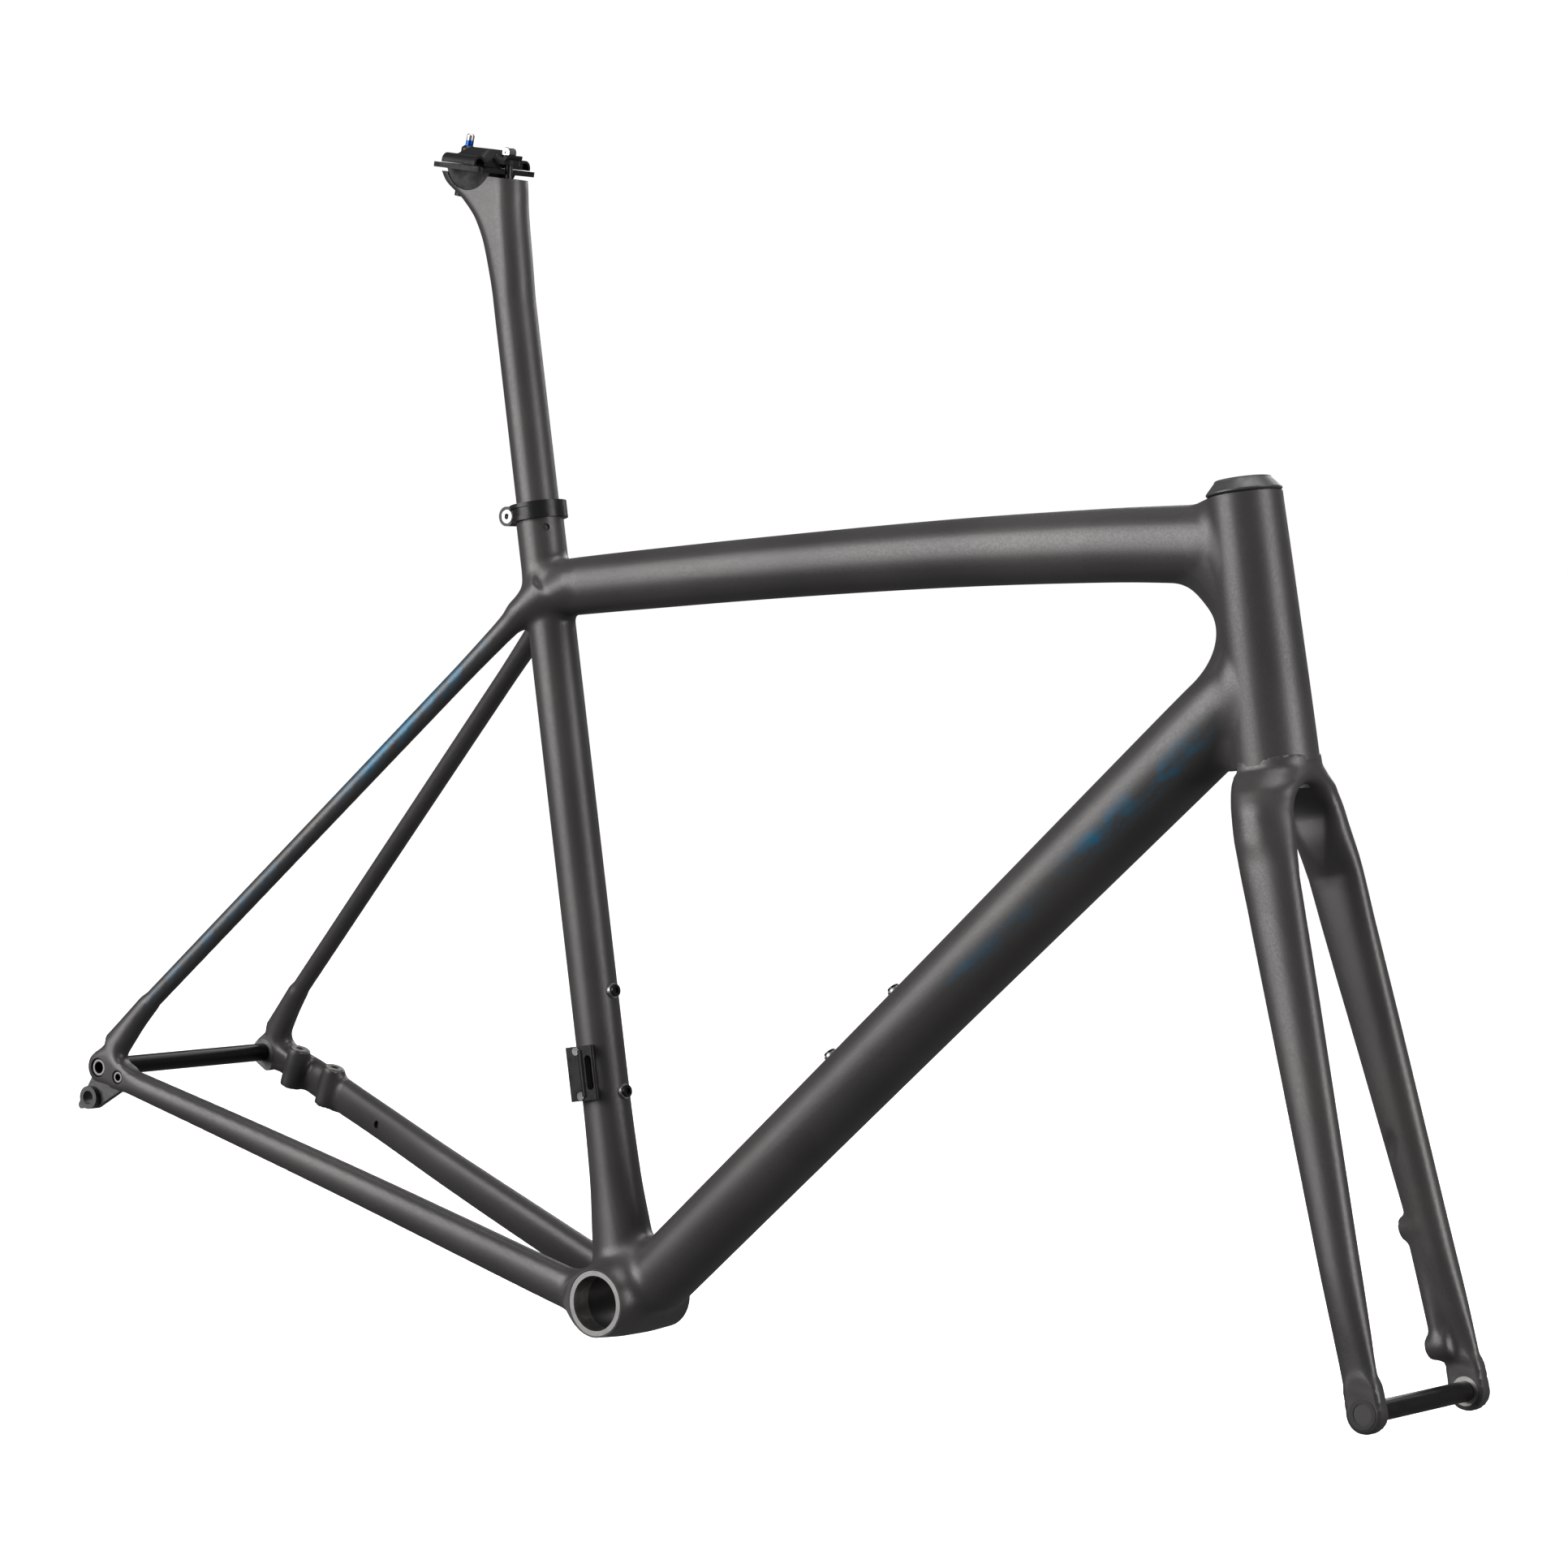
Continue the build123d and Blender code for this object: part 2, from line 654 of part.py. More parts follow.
head_room_depth = 24.8        # of that room below the bolt's foot
rear_head_room_height = 6.2
front_head_room_height = 7.8
shank_room = (4.9, 3.0)       # half-length and half-width of the slot for a bolt's shank


def bolt_slot(foot, up, high):
    """Room in the post head for one clamp bolt to swing; its head has room this high."""
    long, wide = head_room
    shank = foot + up * (slot_depth / 2)
    with BuildPart() as room:
        add(block((foot.X - long, -wide, foot.Z - head_room_depth), (foot.X + long, wide, foot.Z + high)))
        long, wide = shank_room
        add(block((shank.X - long, -wide, foot.Z), (shank.X + long, wide, foot.Z + slot_depth)))
    return room.part


with BuildPart() as seatpost:
    with BuildSketch(seat_plane(post_foot)):
        Circle(post_radius)
    extrude(amount=flare_stations[0][0] / sin(seat_angle) - post_foot + 2.0)
    for z, behind, ahead_of, half_width in flare_stations:
        middle = -z / tan(seat_angle) + (ahead_of - behind) / 2
        with BuildSketch(Plane(origin=(middle, 0, z), x_dir=(1, 0, 0), z_dir=(0, 0, 1))):
            SlotOverall(behind + ahead_of, 2 * half_width)
    loft()
    with BuildSketch(seat_plane(post_foot)):
        Circle(post_bore_radius)
    extrude(amount=post_bore_top - post_foot, mode=Mode.SUBTRACT)
    add(rod((tilt_x, 40, tilt_z), (tilt_x, -40, tilt_z), cradle_radius), mode=Mode.SUBTRACT)
    add(bolt_slot(rear_bolt_foot, rear_bolt_up, rear_head_room_height), mode=Mode.SUBTRACT)
    add(bolt_slot(front_bolt_foot, front_bolt_up, front_head_room_height), mode=Mode.SUBTRACT)
save(seatpost.part, "seatpost")

# ---- saddle clamp: it tilts as one about the cradle's axis -----------------------------------
plate_low = 690.7
plate_high = 694.0
cap_low = 694.4
cap_high = 697.4
bridge_low = 697.0            # the upper clamp's lengthwise bridge, which the bolts pass
bridge_high = 700.2
ridge_high = 705.8
ridge_x = -222.5
nut_radius = 3.5
nut_half_length = 3.4
cradle_width = 12.3
bolt_hole_radius = clamp_bolt_radius + 0.3
rear_bolt_tip = rear_bolt_foot + rear_bolt_up * rear_bolt_length
front_bolt_tip = front_nut + front_bolt_up * front_bolt_above


def rails(radius):
    """Both saddle rails, as bars that the clamp's grooves are cut with."""
    bars = [
        rod((-270, side * rail_half_spacing, rail_z), (-170, side * rail_half_spacing, rail_z), radius)
        for side in (-1, 1)
    ]
    return bars[0] + bars[1]


with BuildPart() as lower_cradle:
    add(rod((tilt_x, cradle_width, tilt_z), (tilt_x, -cradle_width, tilt_z), cradle_radius - free_gap))
    add(block((-260, -30, plate_high - 1.5), (-190, 30, 730)), mode=Mode.SUBTRACT)
    with BuildSketch(Plane.XY.offset(plate_low)):
        with Locations((-223.6, 0)):
            RectangleRounded(41.4, 54.4, 3.0)
    extrude(amount=plate_high - plate_low)
    add(rails(rail_radius), mode=Mode.SUBTRACT)
    add(rod(rear_bolt_foot, rear_bolt_tip, bolt_hole_radius), mode=Mode.SUBTRACT)
    add(rod(front_bolt_foot, front_bolt_tip, bolt_hole_radius), mode=Mode.SUBTRACT)
    add(block((-230, -9, 683), (-213, 9, plate_high + 1)), mode=Mode.SUBTRACT)
save(lower_cradle.part, "lower_cradle")

with BuildPart() as upper_clamp:
    with BuildSketch(Plane.XY.offset(cap_low)):
        with Locations((ridge_x, 0)):
            RectangleRounded(30.0, 52.0, 3.5)
    extrude(amount=cap_high - cap_low)
    with BuildSketch(Plane.XY.offset(bridge_low)):
        with Locations((ridge_x, 0)):
            RectangleRounded(51.0, 15.0, 6.0)
    extrude(amount=bridge_high - bridge_low)
    for side in (-1, 1):
        rail_at = side * rail_half_spacing
        add(rod((-236.5, rail_at, rail_z), (-208.5, rail_at, rail_z), rail_radius + 1.6))
    add(block((-240, -30, cap_low - 8), (-205, 30, cap_low)), mode=Mode.SUBTRACT)
    with BuildSketch(Plane.XY.offset(cap_high - 0.4)):
        with Locations((ridge_x, 0)):
            RectangleRounded(27.0, 46.0, 3.0)
    with BuildSketch(Plane.XY.offset(ridge_high)):
        with Locations((ridge_x, 0)):
            RectangleRounded(18.0, 17.0, 3.0)
    loft()
    add(rod((front_nut.X, -7.5, front_nut.Z - 2.0), (front_nut.X, 7.5, front_nut.Z - 2.0), 4.9))
    add(block((-209, -30, front_nut.Z - 1.3), (-190, 30, 720)), mode=Mode.SUBTRACT)
    add(block((-230, -3.2, bridge_high), (-250, 3.2, 720)), mode=Mode.SUBTRACT)
    nut_room = rod((front_nut.X, -9.5, front_nut.Z), (front_nut.X, 9.5, front_nut.Z), nut_radius)
    add(nut_room, mode=Mode.SUBTRACT)
    add(rails(rail_radius), mode=Mode.SUBTRACT)
    add(rod(rear_bolt_foot, rear_bolt_tip, bolt_hole_radius), mode=Mode.SUBTRACT)
    add(rod(front_bolt_foot, front_bolt_tip, bolt_hole_radius), mode=Mode.SUBTRACT)
save(upper_clamp.part, "upper_clamp")

with BuildPart() as rear_clamp_bolt:
    add(rod(rear_bolt_foot, rear_bolt_tip, clamp_bolt_radius))
    chamfer(rear_clamp_bolt.faces().sort_by(Axis.Z)[-1].edges(), 0.5)
    add(rod(rear_bolt_foot, rear_bolt_foot + rear_bolt_up * head_height, head_radius))
    with BuildSketch(Plane(origin=rear_bolt_foot, z_dir=rear_bolt_up)):
        RegularPolygon(2.3, 6)
    extrude(amount=2.6, mode=Mode.SUBTRACT)
save(rear_clamp_bolt.part, "rear_clamp_bolt")

nut_base = rear_bolt_foot + rear_bolt_up * (bridge_high - rear_bolt_foot.Z)
with BuildPart() as rear_clamp_nut:
    add(rod(nut_base - rear_bolt_up, nut_base + rear_bolt_up * 6.0, 4.6))
    chamfer(rear_clamp_nut.faces().sort_by(Axis.Z)[-1].edges(), 1.6)
    add(block((-260, -10, bridge_low), (-225, 10, bridge_high)), mode=Mode.SUBTRACT)
    add(upper_clamp.part, mode=Mode.SUBTRACT)
    add(rod(rear_bolt_foot, rear_bolt_tip, clamp_bolt_radius), mode=Mode.SUBTRACT)
save(rear_clamp_nut.part, "rear_clamp_nut")

with BuildPart() as front_clamp_bolt:
    add(rod(front_bolt_foot, front_bolt_tip, clamp_bolt_radius))
    add(rod(front_bolt_foot, front_bolt_foot + front_bolt_up * head_height, head_radius))
save(front_clamp_bolt.part, "front_clamp_bolt")

with BuildPart() as front_barrel_nut:
    nut_end = Vector(0, nut_half_length, 0)
    add(rod(front_nut + nut_end, front_nut - nut_end, nut_radius))
    chamfer(front_barrel_nut.edges().filter_by(GeomType.CIRCLE), 0.6)
    add(rod(front_bolt_foot, front_bolt_tip + front_bolt_up, clamp_bolt_radius), mode=Mode.SUBTRACT)
    for side in (-1, 1):
        end = front_nut + nut_end * side
        add(rod(end, end - nut_end * (side * 0.2), 1.1), mode=Mode.SUBTRACT)
save(front_barrel_nut.part, "front_barrel_nut")

# ---- seat collar ----------------------------------------------------------------------------
collar_low = 497.4
collar_height = 10.8
collar_bore = seat_tube_radius + 0.03
collar_radius = 18.2
ear_back = -19.2              # the pinch bolt, behind the seat tube's axis
ear_radius = 6.3
ear_width = 9.8
slit = 1.3
collar_middle = collar_low + collar_height / 2
collar_bolt_at = seat_up * collar_middle + seat_ahead * ear_back


def collar_bar(y_from, y_to, radius):
    """A round bar across the collar on its pinch bolt's axis."""
    return rod(collar_bolt_at + Vector(0, y_from, 0), collar_bolt_at + Vector(0, y_to, 0), radius)


with BuildPart() as seat_collar:
    with BuildSketch(seat_plane(collar_low)):
        Circle(collar_radius)
    extrude(amount=collar_height)
    with BuildSketch(seat_plane(collar_low + 2.6)):
        Circle(collar_radius + 2)
        Circle(collar_radius - 1.1, mode=Mode.SUBTRACT)
        with Locations((collar_radius, 0)):
            Rectangle(2 * collar_radius - 12, 4 * collar_radius, mode=Mode.SUBTRACT)
    extrude(amount=collar_height - 5.2, mode=Mode.SUBTRACT)
    add(collar_bar(-ear_width, ear_width, ear_radius))
    with BuildSketch(seat_plane(collar_low - 5)):
        Circle(collar_bore)
        with Locations((-collar_radius, 0)):
            Rectangle(2 * collar_radius, slit)
    extrude(amount=collar_height + 10, mode=Mode.SUBTRACT)
    add(collar_bar(-ear_width - 1, ear_width + 1, m5_radius), mode=Mode.SUBTRACT)
    add(collar_bar(-ear_width - 1, 3.4 - ear_width, 4.3), mode=Mode.SUBTRACT)
save(seat_collar.part, "seat_collar")

with BuildPart() as collar_bolt:
    add(collar_bar(3.4 - ear_width, ear_width, m5_radius))
    add(collar_bar(0.3 - ear_width, 3.4 - ear_width, 4.2))
    with BuildSketch(Plane(origin=collar_bolt_at + Vector(0, 0.3 - ear_width, 0), z_dir=(0, -1, 0))):
        RegularPolygon(2.3, 6)
    extrude(amount=-2.2, mode=Mode.SUBTRACT)
save(collar_bolt.part, "collar_bolt")

# ---- thru-axles -------------------------------------------------------------------------------
hex_radius = 3.46             # 6 mm across the flats
front_axle_end = front_dropout_outside - 0.6
with BuildPart() as front_thru_axle:
    add(across(front_axle.X, front_axle.Z, -front_axle_end, front_dropout_outside - 3.2, axle_radius))
    add(across(front_axle.X, front_axle.Z, front_dropout_outside - 3.2, front_dropout_outside + 1.6, 8.2))
    with BuildSketch(Plane(origin=front_axle + Vector(0, -front_axle_end, 0), z_dir=(0, 1, 0))):
        RegularPolygon(hex_radius, 6)
    extrude(amount=140, mode=Mode.SUBTRACT)
save(front_thru_axle.part, "front_thru_axle")

rear_axle_end = rear_dropout_outside - 1.0
with BuildPart() as rear_thru_axle:
    add(across(rear_axle.X, rear_axle.Z, -rear_axle_end, rear_dropout_outside - 3.0, axle_radius))
    add(across(rear_axle.X, rear_axle.Z, rear_dropout_outside - 3.0, rear_dropout_outside + 1.6, 8.6))
    add(across(rear_axle.X, rear_axle.Z, -90, 70, 4.0), mode=Mode.SUBTRACT)
    with BuildSketch(Plane(origin=rear_axle + Vector(0, 60, 0), z_dir=(0, 1, 0))):
        RegularPolygon(hex_radius, 6)
    extrude(amount=40, mode=Mode.SUBTRACT)
save(rear_thru_axle.part, "rear_thru_axle")

# ---- bottle bosses and their screws -----------------------------------------------------------
down_along = Vector(394, 0, 449.4).normalized()
down_normal = Vector(-down_along.Z, 0, down_along.X)
seat_boss_middle = seat_up * 161.8
down_boss_height = 244.2
down_boss_middle = Vector(14, 0, 8.8) + down_along * down_boss_height


def surface_radius(height):
    """Half-height of the down tube at a distance along its run."""
    return 21.2 + (25.2 - 21.2) * height / 597.6


boss_places = []
for side in (-1, 1):
    seat_point = seat_boss_middle + seat_up * (side * bottle_pitch / 2)
    boss_places.append((seat_point + seat_ahead * (seat_tube_radius - 0.8), seat_ahead))
    down_point = down_boss_middle + down_along * (side * bottle_pitch / 2)
    radius = surface_radius(down_boss_height + side * bottle_pitch / 2)
    boss_places.append((down_point + down_normal * (radius - 0.8), down_normal))

with BuildPart() as bottle_bosses:
    for place, outward in boss_places:
        add(rod(place, place + outward * (0.8 + boss_height), boss_radius))
        add(rod(place, place + outward * (1.8 + boss_height), m5_radius), mode=Mode.SUBTRACT)
    add(down_envelope, mode=Mode.SUBTRACT)
    add(seat_envelope, mode=Mode.SUBTRACT)
save(bottle_bosses.part, "bottle_bosses")

with BuildPart() as bottle_screws:
    for place, outward in boss_places:
        head = place + outward * (0.8 + boss_height)
        add(rod(place + outward * 1.4, head, m5_radius))
        add(rod(head, head + outward * 1.8, 3.9))
        with BuildSketch(Plane(origin=head + outward * 1.8, z_dir=outward)):
            RegularPolygon(2.1, 6)
        extrude(amount=-1.4, mode=Mode.SUBTRACT)
save(bottle_screws.part, "bottle_screws")

# ---- front derailleur mount: a saddle on the seat tube with a slotted tab ---------------
mount_low = 126.8
mount_height = 34.6
mount_saddle_radius = seat_tube_radius + 2.2
tab_thickness = 3.2
tab_outside = -20.5           # the tab's slotted face, which the derailleur bolts to
tab_back = -12.3              # ahead of the seat tube's axis
tab_front = 10.0
slot_ahead = 5.5
rivet_ahead = -3.1
rib_ahead = 0.0
rivet_pitch = 28.6
saddle_from = 205             # the saddle's arc on the tube, degrees round from its front
saddle_arc = 88
mount_middle = seat_up * (mount_low + mount_height / 2)
with BuildPart() as derailleur_mount:
    with BuildSketch(seat_plane(mount_low)):
        with BuildLine():
            arc = CenterArc((0, 0), mount_saddle_radius, saddle_from, saddle_arc)
            Line((0, 0), arc @ 0)
            Line((0, 0), arc @ 1)
        make_face()
        with Locations(((tab_back + tab_front) / 2, tab_outside + tab_thickness / 2)):
            RectangleRounded(tab_front - tab_back, tab_thickness, 1.4)
        with Locations((-2.0, tab_outside + tab_thickness + 2.0)):
            Rectangle(15.0, 6.0)
    extrude(amount=mount_height)
    rib_foot = seat_up * (mount_low + 2.6) + seat_ahead * rib_ahead + Vector(0, tab_outside + 0.9, 0)
    add(rod(rib_foot, rib_foot + seat_up * (mount_height - 5.2), 2.2))
    add(seat_envelope, mode=Mode.SUBTRACT)
    slot_middle = mount_middle + seat_ahead * slot_ahead + Vector(0, tab_outside - 2, 0)
    with BuildSketch(Plane(origin=slot_middle, x_dir=seat_up, z_dir=(0, 1, 0))):
        SlotOverall(22.0, 5.3)
    extrude(amount=7.4, mode=Mode.SUBTRACT)
save(derailleur_mount.part, "derailleur_mount")

with BuildPart() as mount_rivets:
    for side in (-1, 1):
        base = mount_middle + seat_up * (side * rivet_pitch / 2) + seat_ahead * rivet_ahead
        add(rod(base + Vector(0, tab_outside, 0), base + Vector(0, tab_outside - 0.8, 0), 2.7))
    add(derailleur_mount.part, mode=Mode.SUBTRACT)
save(mount_rivets.part, "mount_rivets")
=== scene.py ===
"""Looks of a carbon road-bike frameset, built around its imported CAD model.

The CAD tubes meet with plain saddled ends. Here three moulded skins stand for them: frame,
fork and seatpost. Each skin is the zero surface of a distance field of swept ovals that are
joined with fillets, meshed, then cut crisply for its bores, pockets and faces. Lengths below
are in millimetres in the row's frame, and become metres when a mesh is made.
"""

import json
import math

import bmesh
import bpy
import numpy as np
from mathutils import Matrix, Vector


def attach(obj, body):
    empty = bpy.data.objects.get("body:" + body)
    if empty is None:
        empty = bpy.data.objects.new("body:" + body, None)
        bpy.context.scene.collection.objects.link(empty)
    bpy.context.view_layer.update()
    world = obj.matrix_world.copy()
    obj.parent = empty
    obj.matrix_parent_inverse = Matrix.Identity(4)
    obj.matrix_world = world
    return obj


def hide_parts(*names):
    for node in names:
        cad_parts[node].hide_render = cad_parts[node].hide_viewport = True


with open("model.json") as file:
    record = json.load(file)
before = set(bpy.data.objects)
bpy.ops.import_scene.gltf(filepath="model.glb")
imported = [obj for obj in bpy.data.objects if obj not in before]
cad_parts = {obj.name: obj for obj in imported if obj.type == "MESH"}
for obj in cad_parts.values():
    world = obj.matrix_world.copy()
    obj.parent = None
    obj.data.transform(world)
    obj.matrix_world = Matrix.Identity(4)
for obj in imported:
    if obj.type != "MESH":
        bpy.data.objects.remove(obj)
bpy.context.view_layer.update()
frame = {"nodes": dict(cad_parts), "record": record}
nodes = frame["nodes"]
MM = 0.001

# ---- axes of the object ------------------------------------------------------------------
HEAD = math.radians(73.4)
SEAT = math.radians(73.1)
STEER_UP = np.array([-math.cos(HEAD), 0, math.sin(HEAD)])
STEER_AHEAD = np.array([math.sin(HEAD), 0, math.cos(HEAD)])
SEAT_UP = np.array([-math.cos(SEAT), 0, math.sin(SEAT)])
SEAT_AHEAD = np.array([math.sin(SEAT), 0, math.cos(SEAT)])
CHAINSTAY_LENGTH = 410.0
AXLE_HEIGHT = 73.0
FORK_RAKE = 44.0
FORK_LENGTH = 367.0
HEAD_LENGTH = 156.0
REAR_AXLE = np.array([-math.sqrt(CHAINSTAY_LENGTH**2 - AXLE_HEIGHT**2), 0, AXLE_HEIGHT])
FRONT_AXLE = np.array([574.5, 0, AXLE_HEIGHT])
CROWN = FRONT_AXLE - STEER_AHEAD * FORK_RAKE + STEER_UP * FORK_LENGTH
REAR_INSIDE, REAR_OUTSIDE = 71.0, 86.0
FRONT_INSIDE, FRONT_OUTSIDE = 50.0, 60.4
ACROSS = np.array([0.0, 1.0, 0.0])


# ---- distance fields -----------------------------------------------------------------------
def smooth_curve(*knots):
    """A monotone cubic through (position, value) knots, level beyond its ends."""
    x, y = np.array(knots, float).T
    gaps = np.diff(x)
    slopes = np.diff(y) / gaps
    turns = np.zeros_like(y)
    same_way = slopes[:-1] * slopes[1:] > 0
    both = np.where(same_way, slopes[:-1] + slopes[1:], 1.0)
    turns[1:-1] = np.where(same_way, 2 * slopes[:-1] * slopes[1:] / both, 0.0)
    turns[0], turns[-1] = slopes[0], slopes[-1]

    def at(t):
        t = np.clip(t, x[0], x[-1])
        i = np.clip(np.searchsorted(x, t) - 1, 0, len(gaps) - 1)
        s = (t - x[i]) / gaps[i]
        rise = y[i] * (1 + 2 * s) * (1 - s) ** 2 + y[i + 1] * s * s * (3 - 2 * s)
        return rise + gaps[i] * (turns[i] * s * (1 - s) ** 2 - turns[i + 1] * s * s * (1 - s))

    return at


def join(a, b, fillet):
    """Union of two fields with a fillet between them."""
    near = np.clip(1 - np.abs(a - b) / fillet, 0, 1)
    return np.minimum(a, b) - near * near * fillet / 4


def cut(a, b, edge):
    """Field a without b, its new edges rounded."""
    return -join(-a, b, edge)


def oval(u, v, half_u, half_v, power=2.0):
    """Distance to a super-ellipse, true near its surface."""
    pu, pv = np.abs(u) / half_u, np.abs(v) / half_v
    rho = np.maximum((pu**power + pv**power) ** (1 / power), 1e-4)
    steep = np.hypot(pu ** (power - 1) / half_u, pv ** (power - 1) / half_v) / rho ** (power - 1)
    return (rho - 1) / np.maximum(steep, 1e-3)


def between(distance, t, low, high, edge=2.0):
    """The part of a field between two planes across its run."""
    return -join(join(-distance, t - low, edge), high - t, edge)


def straight(p, start, end, half_side, half_height, power=2.0, edge=2.0):
    """A straight tube; its half-axes are smooth curves of the distance from start."""
    run = np.subtract(end, start).astype(float)
    length = np.linalg.norm(run)
    run /= length
    side = np.cross(run, (0, 0, 1.0))
    side /= np.linalg.norm(side)
    rel = p - start
    t = rel @ run
    d = oval(rel @ side, rel @ np.cross(side, run), half_side(t), half_height(t), power)
    return between(d, t, 0, length, edge)


def swept(p, axis, low, high, centre_a, centre_b, half_a, half_b, power=2.0, edge=2.0):
    """A gently bent tube that runs along row axis 0 (X) or 2 (Z).

    centre_a is the centre's Y. centre_b is its Z for a run along X, or its X for one along Z.
    """
    t = p[:, axis]
    other = 2 - axis
    tt = np.clip(t, low, high)
    lean_a = centre_a(tt + 1.0) - centre_a(tt - 1.0)
    lean_b = centre_b(tt + 1.0) - centre_b(tt - 1.0)
    off_a = (p[:, 1] - centre_a(tt)) / np.sqrt(1 + (lean_a / 2) ** 2)
    off_b = (p[:, other] - centre_b(tt)) / np.sqrt(1 + (lean_b / 2) ** 2)
    return between(oval(off_a, off_b, half_a(tt), half_b(tt), power), t, low, high, edge)


def ball_ended(p, start, end, radius_start, radius_end):
    """A tapered bar with round ends."""
    run = np.subtract(end, start).astype(float)
    rel = p - start
    s = np.clip(rel @ run / (run @ run), 0, 1)
    return np.linalg.norm(rel - s[:, None] * run, axis=1) - (radius_start + (radius_end - radius_start) * s)


def slab(p, circles, y_low, y_high, edge):
    """The hull of circles (x, z, radius) as a plate across Y with rounded edges."""
    flat = p[:, [0, 2]]
    spots = np.array([c[:2] for c in circles], float)
    d = np.full(len(p), 1e3)
    for i in range(len(circles)):
        a, b = spots[i], spots[(i + 1) % len(circles)]
        ra, rb = circles[i][2], circles[(i + 1) % len(circles)][2]
        s = np.clip((flat - a) @ (b - a) / ((b - a) @ (b - a)), 0, 1)
        d = np.minimum(d, np.linalg.norm(flat - a - s[:, None] * (b - a), axis=1) - ra - (rb - ra) * s)
    if len(circles) > 2:
        middle = spots.mean(0)
        inner = np.full(len(p), -1e3)
        for i in range(len(circles)):
            a, b = spots[i], spots[(i + 1) % len(circles)]
            out = np.array([b[1] - a[1], a[0] - b[0]]) / np.linalg.norm(b - a)
            out *= np.sign(out @ (a - middle))
            inner = np.maximum(inner, (flat - a) @ out)
        d = np.minimum(d, inner)
    thick = np.abs(p[:, 1] - (y_low + y_high) / 2) - (y_high - y_low) / 2
    a, b = d + edge, thick + edge
    return np.minimum(np.maximum(a, b), 0) + np.hypot(np.maximum(a, 0), np.maximum(b, 0)) - edge


# ---- the frame's field -------------------------------------------------------------------
def level(value):
    return smooth_curve((0, value), (1, value))


head_radius = smooth_curve(
    (-10, 25.2), (0, 25.1), (40, 24.5), (80, 23.7), (120, 22.9), (156, 22.1), (166, 22.0),
)
top_z = smooth_curve(
    (-145, 430.0), (-94.9, 441.5), (-32.7, 455.2), (28.2, 468.4), (87.6, 480.9),
    (145.8, 492.8), (202.7, 503.9), (258.5, 514.0), (313.3, 523.3), (392, 534.6),
)
top_half_height = smooth_curve(
    (-145, 17.6), (-95, 18.3), (60, 19.3), (200, 20.6), (313, 22.0), (392, 24.0),
)
top_half_width = smooth_curve(
    (-145, 14.5), (-95, 16.8), (60, 18.6), (240, 19.6), (360, 20.0), (396, 17.0),
)
down_half = smooth_curve((0, 21.3), (120, 21.9), (300, 23.0), (480, 24.6), (560, 25.1), (604, 22.0))
seat_half_length = smooth_curve((10, 23.0), (45, 19.6), (80, 16.5), (130, 15.25), (520, 15.25))
seat_half_width = smooth_curve((10, 20.0), (45, 17.4), (80, 15.9), (130, 15.25), (520, 15.25))
stay_radius = smooth_curve((0, 9.4), (18, 8.6), (45, 7.0), (90, 6.2), (420, 5.95))
AXLE_CIRCLE = (REAR_AXLE[0], REAR_AXLE[2], 9.9)
HANGER_BOLT_CIRCLE = (REAR_AXLE[0] + 18.8, 70.2, 7.4)
BRAKE_NORMAL = np.array([0.1908, 0, 1.0]) / math.hypot(0.1908, 1)
BRAKE_ALONG = np.array([1.0, 0, -0.1908]) / math.hypot(0.1908, 1)
BRAKE_SEATS = [np.array([-348.0, 66.5, 80.0]) + BRAKE_ALONG * s for s in (-17.0, 17.0)]
REAR_PORT = np.array([-277.7, 56.2, 51.0])


STAY_TOP = np.array([-126.0, 10.4, 434.5])
STAY_FOOT = np.array([-401.0, 77.4, 90.0])


def seat_stay(p, side):
    mirrored = (1, side, 1)
    along = (STAY_TOP - STAY_FOOT) / np.linalg.norm(STAY_TOP - STAY_FOOT)
    stay = straight(p, STAY_TOP * mirrored, STAY_FOOT * mirrored, stay_radius, stay_radius)
    neck = ball_ended(p, REAR_AXLE + (-0.3, side * 79.2, 0.8), (STAY_FOOT + along * 38) * mirrored, 9.2, 5.9)
    return join(stay, neck, 4)


def chain_stay(p, side):
    y = smooth_curve(
        (-392, 82.0), (-384, 80.8), (-290, 64.5), (-200, 48.6), (-110, 35.3), (-50, 27.0), (-6, 22.5),
    )
    z = smooth_curve(
        (-392, 71.0), (-384, 69.6), (-290, 52.2), (-200, 34.7), (-110, 17.1), (-50, 5.5), (-6, -2.0),
    )
    half_width = smooth_curve((-384, 7.0), (-290, 7.2), (-150, 8.0), (-6, 8.6))
    if side < 0:
        half_height = smooth_curve((-384, 8.1), (-290, 9.6), (-150, 11.6), (-50, 12.8), (-6, 13.2))
    else:
        half_height = smooth_curve((-384, 11.0), (-348, 12.4), (-290, 12.0), (-150, 12.8), (-6, 13.6))
    return swept(p, 0, -390, -6, lambda x: side * y(x), z, half_width, half_height, 2.3)


shell_radius = smooth_curve((-38, 21.3), (-30, 21.9), (-8, 23.0), (8, 23.0), (30, 21.9), (38, 21.3))
join_at_seat = smooth_curve((100, 13), (400, 7), (520, 5))


